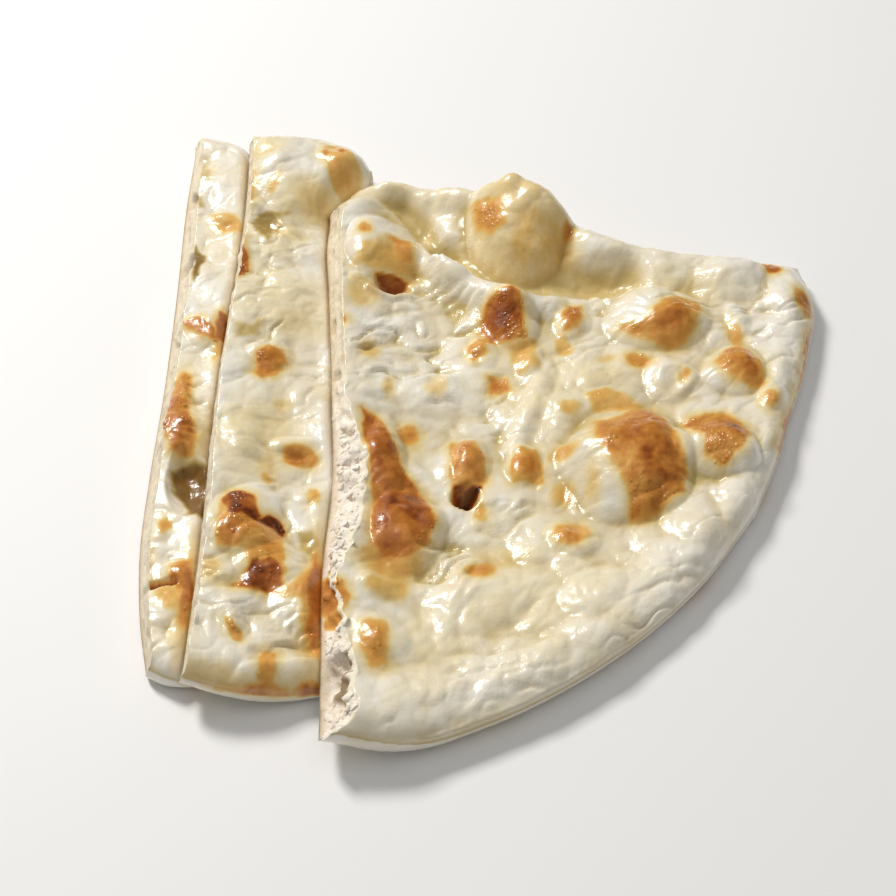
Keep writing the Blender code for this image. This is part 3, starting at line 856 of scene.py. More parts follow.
def underside(bread, x, y):
    """Floor level, or the ramp up to the margin that lies on the neighbour."""
    if not bread.lies_on_another:
        return np.zeros_like(x)
    line = curve(bread.left, np.linspace(0, 1, 60))
    into_slice = x - np.interp(y, line[:, 1], line[:, 0])
    return MARGIN_LIFT * (1 - smooth_step(0, MARGIN_RUN, into_slice))


def rim_rounding(distance):
    """Quarter-round rise of the skin from the rim inward, as a share of the full height."""
    t = np.clip(distance / RIM_ROUNDING, 0, 1)
    return RIM_START + (1 - RIM_START) * np.sqrt(1 - (1 - t) ** 2)


print("the rim starts at", rim_rounding(0.0), "of its height")

# %% Height of the skin
BREAD_THICKNESS = 8.6
RIM_SWELL = 2.2
RIM_SWELL_REACH = 6.5
SLICE_CLEARANCE = 0.5
SHOULDER_SLOPE = 1.7
SHOULDER_BLEND = 2.0
SWELL_HEIGHT, SWELL_SIZE = 1.5, 15.0
CALM_RIM = 12.0
# Each crowd of dough bubbles: size, height, fullness, and its shift across and along.
DOUGH_BUBBLES = [(15.0, 1.2, 0.75, 0, 0), (7.5, 0.6, 0.7, 3, 0), (3.4, 0.12, 0.6, 0, 2)]
CREASE_DEPTH, RIPPLE_HEIGHT = 0.24, 0.10
CRINKLE_DEPTH, CRINKLE_RIPPLE = 0.80, 0.45
BLISTER_HEIGHT = 0.16
RELIEF_LEVEL = 0.6


def skin_relief(bread, x, y, browning):
    """The small forms that the solids leave out."""
    salt = bread.salt * 10
    crinkled = greatest_strength(x, y, bread.crinkles)
    near_x, near_y = wandered(x, y, 2.2, 11.0, 2, (salt + 11, salt + 12))
    relief = np.zeros_like(x)
    for order, (size, height, fullness, shift_x, shift_y) in enumerate(DOUGH_BUBBLES):
        place = near_x + shift_x, near_y + shift_y
        relief += height * crowded_bubbles(*place, size, salt + 3 * order, fullness)
    across, along = 0.9 * near_y - 0.45 * near_x, 0.45 * near_y + 0.9 * near_x
    depth = CREASE_DEPTH + CRINKLE_DEPTH * crinkled
    relief -= depth * creases(along * 0.55, across * 1.15, 6.0, salt + 7)
    ripple = RIPPLE_HEIGHT + CRINKLE_RIPPLE * crinkled
    relief += ripple * layered_lumps(along * 0.5, across, 4.0, 2, salt + 8)
    blistered = browning * BLISTER_HEIGHT * crowded_bubbles(x, y, 2.0, salt + 9, 0.8)
    return relief + blistered - RELIEF_LEVEL


def skin_height(bread, above, x, y, browning):
    """Height of the upper skin before the rim is rounded; above is the slice that lies on it."""
    rim = rim_distance(bread, x, y)
    swell = RIM_SWELL * np.exp(-((rim - RIM_SWELL_REACH) / RIM_SWELL_REACH) ** 2)
    height = underside(bread, x, y) + BREAD_THICKNESS + swell
    swells = SWELL_HEIGHT * lumps(x, y, SWELL_SIZE, bread.salt)
    height += swells * smooth_step(0, CALM_RIM, rim)
    height += bump_height(x, y, bread.bumps) + fold_height(x, y, bread.folds)
    height += skin_relief(bread, x, y, browning)
    if above:
        clear = np.maximum(outline_distance(x, y, whole_outline(above)), 0.0)
        limit = underside(above, x, y) - SLICE_CLEARANCE + SHOULDER_SLOPE * clear
        puffed = np.maximum(bump_height(x, y, bread.bumps), 0.0)
        height = soft_least(height, limit, SHOULDER_BLEND + 0.6 * puffed)
    return height


print("dough bubbles of", [size for size, *_ in DOUGH_BUBBLES], "mm")

# %% [markdown]
# ## The net of a slice
# A slice is a closed net: a skin sheet, an underside sheet of cells twice as wide, and rows of
# cells up its sides that join the two. Cells crowd together towards the sides, where the rim
# turns down. Building it in arrays keeps every point's place in the slice at hand, and that is
# what the toast, the hollows and the crumb are worked out from. A place is (u, v, w): u from
# left to right and v from front to back, both 0 to 1, and w from -1 below to 1 on the skin.

# %% Net
ROWS_UP = 14


def crowded_places(cells, crowding=0.6, reach=5.0):
    """Fractions from 0 to 1 that lie closer together near both ends."""
    order = np.arange(cells)
    widths = 1 - crowding * (np.exp(-order / reach) + np.exp(-(cells - 1 - order) / reach))
    places = np.concatenate([[0.0], np.cumsum(widths)])
    return places / places[-1]


def fine_cells(grid):
    """One face for each cell between the points of a grid."""
    corners = [grid[:-1, :-1], grid[:-1, 1:], grid[1:, 1:], grid[1:, :-1]]
    return np.stack(corners, -1).reshape(-1, 4).tolist()


def coarse_cells(grid):
    """Faces of two cells by two, turned to look down, that keep the border's finer points."""
    last_row, last_column = grid.shape[0] - 1, grid.shape[1] - 1
    faces = []
    for row in range(0, last_row, 2):
        for column in range(0, last_column, 2):
            face = [(row, column), (row + 2, column), (row + 2, column + 2), (row, column + 2)]
            if row == 0:
                face.append((0, column + 1))
            if column + 2 == last_column:
                face.insert(3, (row + 1, last_column))
            if row + 2 == last_row:
                face.insert(2, (last_row, column + 1))
            if column == 0:
                face.insert(1, (row + 1, 0))
            faces.append([int(grid[corner]) for corner in face])
    return faces


def slice_net(bread):
    """Net places of all points, and the faces of the skin, the underside and the sides."""
    u, v = np.meshgrid(crowded_places(bread.across), crowded_places(bread.along))
    sheet = np.arange(u.size).reshape(u.shape)
    ring = np.concatenate([sheet[0, :-1], sheet[:-1, -1], sheet[-1, :0:-1], sheet[:0:-1, 0]])
    kept = np.zeros(u.shape, bool)
    kept[::2, ::2] = True
    kept.ravel()[ring] = True
    under = np.full(u.shape, -1)
    under[kept] = u.size + np.arange(kept.sum())
    places = [
        np.column_stack([u.ravel(), v.ravel(), np.ones(u.size)]),
        np.column_stack([u[kept], v[kept], -np.ones(kept.sum())]),
    ]
    rows = [under.ravel()[ring]]
    for row in range(1, ROWS_UP):
        level = np.full(ring.size, 2 * row / ROWS_UP - 1)
        rows.append(u.size + kept.sum() + (row - 1) * ring.size + np.arange(ring.size))
        places.append(np.column_stack([u.ravel()[ring], v.ravel()[ring], level]))
    rows.append(ring)
    closed = np.array([np.append(row, row[0]) for row in rows])
    return np.vstack(places), (fine_cells(sheet), coarse_cells(under), fine_cells(closed))


print("a side has", ROWS_UP, "rows of cells")

# %% [markdown]
# ## The cut faces
# A knife drags through the soft crumb. Low down the face is a smooth tan band, where the
# bottom crust was pressed. Above it the crumb is white and torn, with pores that are longer
# than they are high, and the skin ends in a thin ragged edge. Near the front of the right
# slice the knife pulled toasted skin down over the cut. Pores and this drape are mapped on the
# face itself, by the place along the cut and the height.

# %% Pores and drapes of the cuts
LEFT_PORES = [
    Bump(103, 5, 4.5, 3, -2.2, 0.8),
    Bump(71, 6, 6, 3.6, -3.2, 0.8),
    Bump(34, 5, 3, 1.6, -1.4, 1),
]
RIGHT_PORES = [
    Bump(40, 9.5, 3.2, 1.6, -2.6, 0.8),
    Bump(18, 9, 2.4, 2.2, -1.2, 1),
    Bump(7.6, 9, 4, 1.6, -1.4, 1),
    Bump(-62.4, 11, 2.6, 2.4, -2.6, 0.8),
    Bump(-79, 11.5, 3.6, 1.8, -2.6, 0.8),
    Bump(-86, 10, 9, 3.2, -3.6, 1),
]
RIGHT_DRAPES = [
    Mark(-59, 8, 6.5, 4.5, 0.58, 1.5),
    Mark(-66, 9, 4, 3, 0.5, 1.5),
]
print("pores:", len(LEFT_PORES) + len(RIGHT_PORES), "drapes:", len(RIGHT_DRAPES))

# %% Relief of a cut face
ON_SIDE = 1e-6
CRUMB_HEIGHT = 1.3
CRUMB_PORE_DEPTH = 1.8
FINE_PORE_DEPTH = 0.8
LIP_RAGGED = 0.8
LIP_REACH = 1.5


def along_cut(values, v):
    """Values that are spread evenly along a slice, read at v."""
    return np.interp(v, np.linspace(0, 1, len(values)), values)


def crumb_relief(y, up, level, salt):
    """How far torn crumb stands out of the cut; level runs from 0 at the base to 1."""
    torn = smooth_step(0.12, 0.40, level) * smooth_step(1.0, 0.8, level)
    ragged = CRUMB_HEIGHT * layered_lumps(y * 0.7, up, 3.4, 3, salt)
    pores = CRUMB_PORE_DEPTH * crowded_bubbles(y * 0.6, up, 2.8, salt + 4, 0.6)
    return torn * (ragged - pores + 0.7)


def fine_pores(y, up, level, salt):
    """Small lengthwise pores of a pressed cut, 1 in the middle of each."""
    window = smooth_step(0.08, 0.25, level) * smooth_step(0.98, 0.80, level)
    groups = smooth_step(-0.5, 0.5, layered_lumps(y * 0.6, up, 8.0, 2, salt + 75))
    return window * groups * crowded_bubbles(y * 0.5, up, 2.4, salt + 70, 0.62)


def roughen_cut(bread, places, plan, height, face_turn):
    """Moves the points of a cut out and in for crumb and pores, and makes its lip ragged."""
    u, v, w = places.T
    y, rise = plan[:, 1], (w + 1) / 2
    torn = along_cut(bread.torn, v)
    side = (u < ON_SIDE) * 1.0 - (u > 1 - ON_SIDE) * (not bread.right_is_baked)
    out = torn * crumb_relief(y, height, rise, bread.salt * 3)
    out = (out + bump_height(y, height, bread.pores)) * (side > 0)
    fine = FINE_PORE_DEPTH * fine_pores(y, height, rise, bread.salt)
    out -= fine * np.clip(1 - torn, 0, 1)
    out *= 1 - w ** 4
    into_slice = u * np.linalg.norm(np.array(bread.front[0]) - np.array(bread.front[-1]))
    lip = torn * LIP_RAGGED * layered_lumps(y, height, 3.0, 3, bread.salt + 60)
    plan[:, 0] += lip * smooth_step(0.5, 1.0, rise) * np.exp(-into_slice / LIP_REACH)
    plan[:, 0] -= side * out * np.cos(face_turn)
    return np.column_stack([plan, height + np.abs(side) * out * np.sin(face_turn)])


face = crumb_relief(*np.mgrid[-100.0:0.0, 2.0:10.0], 0.6, 9)
print("torn crumb runs from", round(face.min(), 1), "to", round(face.max(), 1), "mm")

# %% From the net to the bread
RIM_MID_HEIGHT = 3.0
RIM_BULGE = 0.5
LEAST_THICKNESS = 1.2


def rim_bulge(bread, u, v, w):
    """Outward bulge of the baked sides, greatest at mid height."""
    step = 0.01
    outward = np.zeros((len(u), 2))
    sides = [(v < ON_SIDE, (0, -step)), (v > 1 - ON_SIDE, (0, step))]
    if bread.right_is_baked:
        sides.append((u > 1 - ON_SIDE, (step, 0)))
    for on_side, (du, dv) in sides:
        inner = plan_point(bread, u[on_side] - du, v[on_side] - dv)
        away = plan_point(bread, u[on_side], v[on_side]) - inner
        outward[on_side] += away / np.linalg.norm(away, axis=1)[:, None]
    return outward * (RIM_BULGE * (1 - w * w))[:, None]


def place_net(bread, above, places):
    """Carries net places onto the slice: points in millimetres, and the browning."""
    u, v, w = places.T
    base = plan_point(bread, u, v)
    rounding = rim_rounding(rim_distance(bread, base[:, 0], base[:, 1]))
    lean = along_cut(bread.lean, v)
    top = base.copy()
    top[:, 0] += lean * (1 - u) * rounding

    browning = toast(top[:, 0], top[:, 1], bread.marks, bread.salt * 7)
    floor_level = underside(bread, base[:, 0], base[:, 1])
    full_height = skin_height(bread, above, top[:, 0], top[:, 1], browning)
    middle = floor_level + RIM_MID_HEIGHT
    low = middle - (middle - floor_level) * rounding
    high = np.maximum(middle + (full_height - middle) * rounding, low + LEAST_THICKNESS)

    rise = (w + 1) / 2
    plan = base + (top - base) * rise[:, None]
    plan += rim_bulge(bread, u, v, w)
    face_turn = np.arctan2(lean * rounding, high - low)
    height = low + (high - low) * rise
    return roughen_cut(bread, places, plan, height, face_turn), browning


print("a slice is at least", LEAST_THICKNESS, "mm thick")

# %% [markdown]
# ## Finishes
# The skin's colour follows the browning that each point carries. Fine noise in the shader
# breaks up the steps from cream to gold to brown, a second noise mottles the cream, and a
# third leaves floury patches. Hollows are tinted olive, partly for butter in the thin skin and
# partly as painted shade, and the deepest are painted brown as their shadow. Butter is a clear
# coat with its own roughness, which follows the same fine bumps as the skin. The crumb is soft
# white over a tan crust, its pores are painted brown as their shade, and light passes a little
# way into both.

# %% Node helpers


def add_node(tree, kind, settings=None, **inputs):
    """A node with its settings, and its inputs set or linked by name, or by number as _0."""
    node = tree.nodes.new(kind)
    for key, value in (settings or {}).items():
        setattr(node, key, value)
    for key, value in inputs.items():
        named = not key[1:].isdigit()
        socket = node.inputs[key.replace("_", " ") if named else int(key[1:])]
        if isinstance(value, bpy.types.NodeSocket):
            tree.links.new(value, socket)
        else:
            socket.default_value = value
    return node


def millimetres(tree):
    """Object coordinates in millimetres."""
    place = add_node(tree, "ShaderNodeTexCoord").outputs["Object"]
    scaled = add_node(
        tree, "ShaderNodeVectorMath", {"operation": "SCALE"}, Vector=place, Scale=1 / MM
    )
    return scaled.outputs[0]


def noise(tree, place, scale, detail=3.0, rough=0.55):
    """Noise from 0 to 1; scale is in repeats for each millimetre."""
    sizes = {"Scale": scale, "Detail": detail, "Roughness": rough}
    return add_node(tree, "ShaderNodeTexNoise", None, Vector=place, **sizes).outputs["Fac"]


def attribute(tree, name):
    """A value that the mesh carries."""
    return add_node(tree, "ShaderNodeAttribute", {"attribute_name": name}).outputs["Fac"]


def maths(tree, operation, first, second=0.0, third=0.0, clamp=False):
    """One step of arithmetic."""
    settings = {"operation": operation, "use_clamp": clamp}
    node = add_node(tree, "ShaderNodeMath", settings, _0=first, _1=second, _2=third)
    return node.outputs[0]


def stretched(tree, value, low, high, new_low, new_high):
    """A value carried from one range to another, and held to it."""
    ends = {"_1": low, "_2": high, "_3": new_low, "_4": new_high}
    return add_node(tree, "ShaderNodeMapRange", None, _0=value, **ends).outputs[0]


def blend(tree, amount, first, second, mode="MIX"):
    """Mixes two colours."""
    settings = {"data_type": "RGBA", "blend_type": mode}
    node = add_node(tree, "ShaderNodeMix", settings, _0=amount, _6=first, _7=second)
    return node.outputs[2]


def colour_steps(tree, value, steps):
    """A colour ramp through (place, colour) steps; a ramp of two steps is eased."""
    node = add_node(tree, "ShaderNodeValToRGB", None, Fac=value)
    ramp = node.color_ramp
    ramp.interpolation = "EASE" if len(steps) == 2 else "LINEAR"
    ramp.elements[0].position, ramp.elements[1].position = steps[0][0], steps[-1][0]
    ramp.elements[0].color, ramp.elements[1].color = (*steps[0][1], 1), (*steps[-1][1], 1)
    for place, colour in steps[1:-1]:
        ramp.elements.new(place).color = (*colour, 1)
    return node.outputs["Color"]


def bumps_of(tree, height, strength, depth, **under):
    """Fine relief of a depth in metres, on the normals of a coarser one if one is given."""
    sizes = {"Strength": strength, "Distance": depth}
    return add_node(tree, "ShaderNodeBump", None, Height=height, **sizes, **under).outputs[0]


print("node helpers are ready")

# %% Buttered skin
TOAST_COLOURS = [
    (0.00, (0.89, 0.845, 0.74)),
    (0.13, (0.87, 0.76, 0.49)),
    (0.30, (0.80, 0.54, 0.18)),
    (0.46, (0.74, 0.37, 0.080)),
    (0.60, (0.56, 0.210, 0.033)),
    (0.74, (0.37, 0.100, 0.014)),
    (0.88, (0.15, 0.034, 0.006)),
    (1.00, (0.035, 0.012, 0.006)),
]
MOTTLE = [(0.35, (1.0, 1.0, 1.0)), (0.70, (0.95, 0.90, 0.76))]
FLOURED = [(0.50, (0, 0, 0)), (0.72, (1, 1, 1))]
# Olive for hollows, partly butter and partly painted shade; the brown below is painted shadow in
# the deepest.
OLIVE_OIL_AND_SHADE = (0.66, 0.54, 0.25, 1)
SOAK_AND_SHADOW_BROWN = (0.34, 0.22, 0.10, 1)
FLOUR = (0.92, 0.90, 0.85, 1)


def skin_colour(tree, place):
    """Cream to charred, with mottles, hollows tinted by butter and painted shade, and a little
    flour.
    """
    browning = attribute(tree, "browning")
    grain = maths(tree, "SUBTRACT", noise(tree, place, 0.5, 5.0, 0.6), 0.5)
    grain = maths(tree, "MULTIPLY", grain, 0.34)
    spread = maths(tree, "MULTIPLY", grain, maths(tree, "MULTIPLY_ADD", browning, 1.1, 0.10))
    level = maths(tree, "ADD", browning, spread, clamp=True)
    mottle = colour_steps(tree, noise(tree, place, 0.06, 4.0), MOTTLE)
    coloured = blend(tree, 1.0, colour_steps(tree, level, TOAST_COLOURS), mottle, "MULTIPLY")

    # Painted shade: hollows turn olive, with a little butter in it, and brown beyond 1 as shadow;
    # toasted marks keep their colour.
    untoasted = maths(tree, "MULTIPLY_ADD", browning, -1.6, 1.0, clamp=True)
    hollow = maths(tree, "MULTIPLY", attribute(tree, "hollow"), untoasted)
    coloured = blend(tree, hollow, coloured, OLIVE_OIL_AND_SHADE, "MULTIPLY")
    soak_and_shadow = maths(tree, "SUBTRACT", hollow, 1.0, clamp=True)
    coloured = blend(tree, soak_and_shadow, coloured, SOAK_AND_SHADOW_BROWN, "MULTIPLY")
    flour = colour_steps(tree, noise(tree, place, 0.22, 5.0, 0.6), FLOURED)
    pale = maths(tree, "SUBTRACT", 0.35, browning)
    bare = maths(tree, "MULTIPLY_ADD", hollow, -0.4, pale, clamp=True)
    return blend(tree, maths(tree, "MULTIPLY", flour, bare), coloured, FLOUR)


def skin_finish():
    """Dough skin, brushed with butter."""
    material, tree, shader = new_finish(
        "buttered_skin", Specular_IOR_Level=0.5, Coat_Weight=0.85, Coat_Roughness=0.13,
        Subsurface_Weight=0.12, Subsurface_Radius=(1.0, 0.62, 0.32), Subsurface_Scale=0.0022,
    )
    place = millimetres(tree)
    tree.links.new(skin_colour(tree, place), shader.inputs["Base Color"])
    rough = stretched(tree, noise(tree, place, 0.12), 0.35, 0.7, 0.30, 0.48)
    tree.links.new(rough, shader.inputs["Roughness"])

    folds = maths(tree, "MULTIPLY_ADD", attribute(tree, "crinkle"), 0.3, 0.32)
    ripple = bumps_of(tree, noise(tree, place, 0.4, 3.0, 0.5), folds, 0.7 * MM)
    pits = bumps_of(tree, noise(tree, place, 1.7, 4.0, 0.6), 0.18, 0.35 * MM, Normal=ripple)
    for socket in ("Normal", "Coat Normal"):
        tree.links.new(pits, shader.inputs[socket])
    return material


skin = skin_finish()
print("finish", skin.name, "has", len(skin.node_tree.nodes), "nodes")

# %% Torn crumb
TORN_LAYERS = [
    (0.00, (0.60, 0.46, 0.30)),
    (0.10, (0.74, 0.63, 0.48)),
    (0.24, (0.96, 0.85, 0.73)),
    (0.60, (0.98, 0.89, 0.79)),
    (0.90, (0.96, 0.88, 0.74)),
    (1.00, (0.88, 0.80, 0.62)),
]
PRESSED_LAYERS = [
    (0.00, (0.46, 0.29, 0.13)),
    (0.07, (0.66, 0.50, 0.30)),
    (0.22, (0.80, 0.70, 0.52)),
    (0.70, (0.84, 0.76, 0.60)),
    (1.00, (0.76, 0.64, 0.42)),
]
SPECKLE = [(0.33, (0.88, 0.82, 0.70)), (0.5, (1, 1, 1))]
# Brown painted into the pores of the cut as their shade.
PORE_SHADE = (0.34, 0.25, 0.14, 1)


def crumb_finish():
    """Torn white crumb, or a pressed cut, over a tan crust, with pores painted brown as their
    shade; draped skin keeps its toast.
    """
    material, tree, shader = new_finish(
        "torn_crumb", Roughness=0.72,
        Subsurface_Weight=0.2, Subsurface_Radius=(1.0, 0.9, 0.8), Subsurface_Scale=0.0006,
    )
    place = millimetres(tree)
    level = maths(tree, "SUBTRACT", attribute(tree, "level"), 0.12)
    level = maths(tree, "MULTIPLY_ADD", noise(tree, place, 0.3), 0.24, level)
    pressed, torn = [colour_steps(tree, level, steps) for steps in (PRESSED_LAYERS, TORN_LAYERS)]
    layers = blend(tree, attribute(tree, "torn"), pressed, torn)
    # painted shade in the pores
    layers = blend(tree, attribute(tree, "pore"), layers, PORE_SHADE)
    speckle = colour_steps(tree, noise(tree, place, 0.8, 5.0, 0.7), SPECKLE)
    layers = blend(tree, 1.0, layers, speckle, "MULTIPLY")

    draped = attribute(tree, "draped")
    dragged = stretched(tree, draped, 0.15, 0.35, 0.0, 1.0)
    layers = blend(tree, dragged, layers, colour_steps(tree, draped, TOAST_COLOURS))
    tree.links.new(layers, shader.inputs["Base Color"])
    pores = bumps_of(tree, noise(tree, place, 1.1, 6.0, 0.72), 0.5, 0.8 * MM)
    tree.links.new(pores, shader.inputs["Normal"])
    return material


crumb = crumb_finish()
print("finish", crumb.name, "has", len(crumb.node_tree.nodes), "nodes")

# %% [markdown]
# ## Building the slices
# The right slice is the large one, the other two are strips. Each has its own count of cells,
# so that most cells are well under a millimetre and no piece passes 200,000 triangles. The
# left cut of the right slice was torn at its front and pressed at its back, which its torn
# values say. The mesh carries what the finishes and the scattered shapes read: browning, the
# olive of butter and painted shade in the hollows, and crinkle on the skin, and level, torn,
# the pores' painted shade, and draped on the cuts.

# %% The three slices
left_slice = Slice(
    name="slice_left", salt=1, across=60, along=420,
    front=LEFT_FRONT, back=LEFT_BACK, left=LEFT_EDGE, lean=LEFT_EDGE_LEAN,
    lies_on_another=False, right_is_baked=False,
    right=tucked_edge(FIRST_CUT, LEFT_FRONT[-1], LEFT_BACK[-1]),
    torn=[0.25], bumps=LEFT_BUMPS, folds=LEFT_FOLDS, marks=LEFT_MARKS,
    crinkles=LEFT_CRINKLES, stains=LEFT_OIL_AND_SHADE, pores=LEFT_PORES, drapes=[],
)
middle_slice = Slice(
    name="slice_middle", salt=2, across=100, along=440,
    front=MIDDLE_FRONT, back=MIDDLE_BACK, left=FIRST_CUT, lean=FIRST_CUT_LEAN,
    lies_on_another=True, right_is_baked=False,
    right=tucked_edge(SECOND_CUT, MIDDLE_FRONT[-1], MIDDLE_BACK[-1]),
    torn=[0.3], bumps=MIDDLE_BUMPS, folds=MIDDLE_FOLDS, marks=MIDDLE_MARKS,
    crinkles=MIDDLE_CRINKLES, stains=MIDDLE_OIL_AND_SHADE, pores=[], drapes=[],
)
right_slice = Slice(
    name="slice_right", salt=3, across=224, along=290,
    front=RIGHT_FRONT, back=RIGHT_BACK, left=SECOND_CUT, lean=SECOND_CUT_LEAN,
    lies_on_another=True, right=RIGHT_SIDE, right_is_baked=True,
    torn=[1.3, 1.2, 1.1, 1.1, 1.0, 0.7, 0.3, 0.2, 0.2, 0.2],
    bumps=RIGHT_BUMPS, folds=RIGHT_FOLDS, marks=RIGHT_MARKS,
    crinkles=RIGHT_CRINKLES, stains=RIGHT_OIL_AND_SHADE, pores=RIGHT_PORES, drapes=RIGHT_DRAPES,
)
print("slices:", left_slice.name, middle_slice.name, right_slice.name)

# %% What the points of a slice carry


def evened(grid, passes):
    """The grid with each value drawn towards its neighbours, many times over."""
    for _ in range(passes):
        wide = np.pad(grid, 1, mode="edge")
        beside = wide[:-2, 1:-1] + wide[2:, 1:-1] + wide[1:-1, :-2] + wide[1:-1, 2:]
        grid = 0.5 * grid + 0.125 * beside
    return grid


def hollow_depth(bread, heights):
    """How deep each point of the skin sheet lies between its bubbles, from 0 to 1; the finish
    paints it olive as shade.
    """
    grid = heights.reshape(bread.along + 1, bread.across + 1)
    # Few passes level out the small bubbles and many the large ones; full at 1.4 and 2.8 mm.
    small = np.clip((evened(grid, 40) - grid) / 1.4, 0, 1)
    large = np.clip((evened(grid, 400) - grid) / 2.8, 0, 1)
    return np.clip(0.6 * small + 0.8 * large, 0, 1).ravel()


def skin_values(bread, places, points, browning):
    """What the skin's finish reads, and where blisters may stand."""
    w = places[:, 2]
    x, y, z = points.T
    sheet = (bread.across + 1) * (bread.along + 1)
    hollow = np.zeros(len(points))
    hollow[:sheet] = hollow_depth(bread, z[:sheet])
    # Patches of butter olive and painted shade, and painted shadow under the slice above, join the
    # hollows.
    hollow = np.maximum(hollow, greatest_strength(x, y, bread.stains) * (w > 0.5))

    under_marks = 0.5 * smooth_step(0.1, 0.9, layered_lumps(x, y, 16, 3, bread.salt + 40))
    patchy = smooth_step(-0.5, 0.5, layered_lumps(x, y, 8.0, 3, bread.salt + 45))
    side_fade = smooth_step(-0.2, 0.8, w) * (1 - (1 - patchy) * smooth_step(1.0, 0.6, w))
    browning = browning * side_fade + under_marks * (w < -0.5)
    clusters = smooth_step(-0.2, 0.7, layered_lumps(x, y, 7.0, 2, bread.salt + 80))
    return {
        "browning": np.clip(browning, 0, 1),
        "hollow": hollow,
        "crinkle": greatest_strength(x, y, bread.crinkles),
        "blisters": (w > 0.99) * clusters * smooth_step(0.36, 0.56, browning),
    }


def cut_values(bread, places, points):
    """What the crumb's finish reads, and where tufts of crumb may stand."""
    u, v, w = places.T
    y, z = points[:, 1], points[:, 2]
    level = (w + 1) / 2
    on_cut = u < ON_SIDE
    torn = along_cut(bread.torn, v)
    draped = on_cut * (w < 1) * greatest_strength(y, z, bread.drapes)
    # Pores, large and fine, are painted brown as their shade; deeper ones darker.
    pore = -bump_height(y, z, bread.pores) * on_cut
    fine = fine_pores(y, z, level, bread.salt) * (torn < 0.6)
    on_face = on_cut * smooth_step(-0.75, -0.4, w) * smooth_step(1.0, 0.7, w)
    return {
        "level": level,
        "torn": smooth_step(0.3, 0.8, torn),
        "draped": draped,
        "pore": np.clip(np.maximum(pore / 2.0, 0.5 * fine), 0, 1),
        "tufts": on_face * smooth_step(0.5, 1.0, torn) * (pore < 0.4) * (draped < 0.2),
    }


# %% Dress the slices


def dress_slice(bread, above):
    """The fine mesh of one slice, in place of its solid."""
    places, (skin_faces, under_faces, side_faces) = slice_net(bread)
    points, browning = place_net(bread, above, places)
    mesh = bpy.data.meshes.new(bread.name + "_bread")
    metres = (points - np.array([*BREAD_MIDDLE, 0.0])) * MM
    faces = skin_faces + under_faces + side_faces
    mesh.from_pydata(metres.tolist(), [], faces)
    mesh.shade_smooth()

    values = skin_values(bread, places, points, browning)
    values.update(cut_values(bread, places, points))
    for name, numbers in values.items():
        layer = mesh.attributes.new(name, "FLOAT", "POINT")
        layer.data.foreach_set("value", numbers.astype(np.float32))

    mesh.materials.append(skin)
    mesh.materials.append(crumb)
    centre_u = places[:, 0][np.array(side_faces)].mean(axis=1)
    is_cut = centre_u < ON_SIDE
    if not bread.right_is_baked:
        is_cut |= centre_u > 1 - ON_SIDE
    finish = np.zeros(len(mesh.polygons), np.int32)
    finish[-len(side_faces):] = is_cut
    mesh.polygons.foreach_set("material_index", finish)

    piece = bpy.data.objects.new(bread.name + "_bread", mesh)
    bpy.context.scene.collection.objects.link(piece)
    print(piece.name, sum(len(face) - 2 for face in faces), "triangles")
    return piece


dressed = {}
for bread, above in (
    (left_slice, middle_slice), (middle_slice, right_slice), (right_slice, None)
):
    piece = dress_slice(bread, above)
    dressed[bread.name] = piece
    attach(piece, "root")
    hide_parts(bread.name)

# %% [markdown]
# ## Blisters and crumb
# Two things repeat all over the bread. The toasted marks have clusters of tiny blisters, each of
# which catches the light as a speck, and the torn cut has tufts of crumb. Both are scattered by
# Geometry Nodes: points fall on the bread where an attribute allows, further apart than a least
# spacing, and each point gets a small closed shape that stands on the surface. The shapes take
# the bread's own attributes along, so the same finishes colour them like their ground.

# %% A tree that scatters small shapes
BREADS = {"Left bread": "slice_left", "Middle bread": "slice_middle", "Right bread": "slice_right"}
SIZES = ("Spacing", "Least size", "Greatest size", "Length", "Flatness", "Depth")
MOST_POINTS = 2.0e6


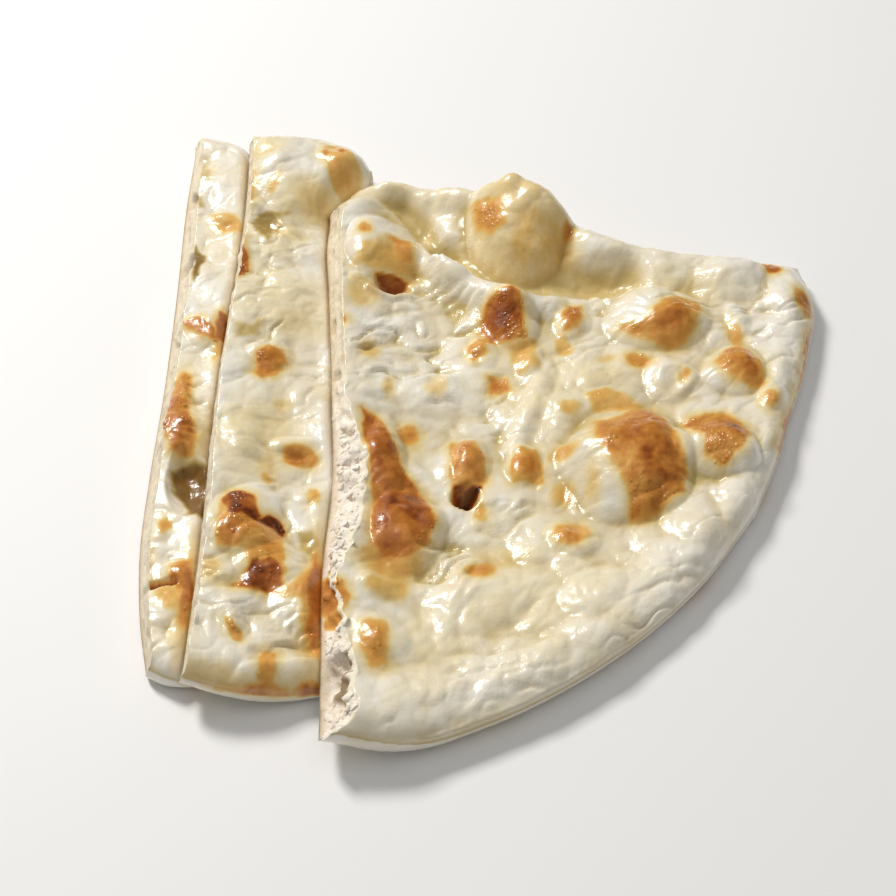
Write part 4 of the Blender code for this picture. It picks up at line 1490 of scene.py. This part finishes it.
def scatter_tree(name, allowed_by, finish, build_shape, uneven=0.0):
    """Small shapes on the three slices, spaced out and sized at random, then pulled uneven."""
    tree = bpy.data.node_groups.new(name, "GeometryNodeTree")
    sockets = [(bread, "NodeSocketObject", "INPUT") for bread in BREADS]
    sockets += [(size, "NodeSocketFloat", "INPUT") for size in SIZES]
    sockets += [("Seed", "NodeSocketInt", "INPUT"), ("Shapes", "NodeSocketGeometry", "OUTPUT")]
    for socket_name, kind, in_out in sockets:
        tree.interface.new_socket(name=socket_name, in_out=in_out, socket_type=kind)
    given = tree.nodes.new("NodeGroupInput").outputs
    end = tree.nodes.new("NodeGroupOutput")

    joined = tree.nodes.new("GeometryNodeJoinGeometry")
    for bread in BREADS:
        ground = add_node(tree, "GeometryNodeObjectInfo", None, Object=given[bread])
        tree.links.new(ground.outputs["Geometry"], joined.inputs[0])
    allowed = add_node(
        tree, "GeometryNodeInputNamedAttribute", {"data_type": "FLOAT"}, Name=allowed_by
    )
    points = add_node(
        tree, "GeometryNodeDistributePointsOnFaces", {"distribute_method": "POISSON"},
        Mesh=joined.outputs[0], Distance_Min=given["Spacing"], Density_Max=MOST_POINTS,
        Density_Factor=allowed.outputs[0], Seed=given["Seed"],
    )

    stretch = add_node(
        tree, "ShaderNodeCombineXYZ", None, X=1.0, Y=given["Length"], Z=given["Flatness"]
    )
    sunk = maths(tree, "MULTIPLY", given["Depth"], -1.0)
    sink = add_node(tree, "ShaderNodeCombineXYZ", None, Z=sunk)
    shape = add_node(
        tree, "GeometryNodeTransform", None, Geometry=build_shape(tree),
        Scale=stretch.outputs[0], Translation=sink.outputs[0],
    )
    size = add_node(
        tree, "FunctionNodeRandomValue", {"data_type": "FLOAT"},
        _2=given["Least size"], _3=given["Greatest size"], Seed=given["Seed"],
    )
    placed = add_node(
        tree, "GeometryNodeInstanceOnPoints", None, Points=points.outputs["Points"],
        Instance=shape.outputs[0], Rotation=points.outputs["Rotation"], Scale=size.outputs[1],
    )

    real = add_node(tree, "GeometryNodeRealizeInstances", None, Geometry=placed.outputs[0])
    spot = tree.nodes.new("GeometryNodeInputPosition").outputs[0]
    pull = add_node(tree, "ShaderNodeTexNoise", None, Vector=spot, Scale=0.6 / MM, Detail=2.0)
    centred = add_node(
        tree, "ShaderNodeVectorMath", {"operation": "SUBTRACT"},
        _0=pull.outputs["Color"], _1=(0.5, 0.5, 0.5),
    )
    offset = add_node(
        tree, "ShaderNodeVectorMath", {"operation": "SCALE"}, _0=centred.outputs[0], Scale=uneven
    )
    moved = add_node(
        tree, "GeometryNodeSetPosition", None, Geometry=real.outputs[0], Offset=offset.outputs[0]
    )
    smooth = add_node(tree, "GeometryNodeSetShadeSmooth", None, Geometry=moved.outputs[0])
    finished = add_node(
        tree, "GeometryNodeSetMaterial", None, Geometry=smooth.outputs[0], Material=finish
    )
    tree.links.new(finished.outputs[0], end.inputs[0])
    return tree


def scatter(name, tree, **values):
    """Runs the tree on the dressed slices and keeps what it made as a plain mesh."""
    piece = bpy.data.objects.new(name, bpy.data.meshes.new(name + "_seed"))
    bpy.context.scene.collection.objects.link(piece)
    modifier = piece.modifiers.new(name, "NODES")
    modifier.node_group = tree
    for item in tree.interface.items_tree:
        if item.name in BREADS:
            modifier[item.identifier] = dressed[BREADS[item.name]]
        elif item.in_out == "INPUT":
            modifier[item.identifier] = values[item.name.replace(" ", "_")]
    graph = bpy.context.evaluated_depsgraph_get()
    made = bpy.data.meshes.new_from_object(piece.evaluated_get(graph))
    piece.modifiers.clear()
    piece.data = made
    print(name, len(made.polygons), "faces")
    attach(piece, "root")


# %% Blisters on the toasted marks


def blister_shape(tree):
    """A ball of a few dozen faces."""
    ball = add_node(tree, "GeometryNodeMeshUVSphere", None, Segments=7, Rings=4, Radius=1.0)
    return ball.outputs["Mesh"]


scatter(
    "blisters", scatter_tree("blister_tree", "blisters", skin, blister_shape),
    Spacing=1.1 * MM, Least_size=0.3 * MM, Greatest_size=0.9 * MM,
    Length=1.2, Flatness=0.35, Depth=0.24, Seed=4,
)

# %% Tufts of crumb on the cut


def tuft_shape(tree):
    """A small rounded lump."""
    lump = add_node(tree, "GeometryNodeMeshIcoSphere", None, Subdivisions=2, Radius=1.0)
    return lump.outputs["Mesh"]


scatter(
    "crumb_tufts", scatter_tree("tuft_tree", "tufts", crumb, tuft_shape, uneven=2.2 * MM),
    Spacing=1.7 * MM, Least_size=0.5 * MM, Greatest_size=1.5 * MM,
    Length=1.4, Flatness=0.4, Depth=0.2, Seed=9,
)
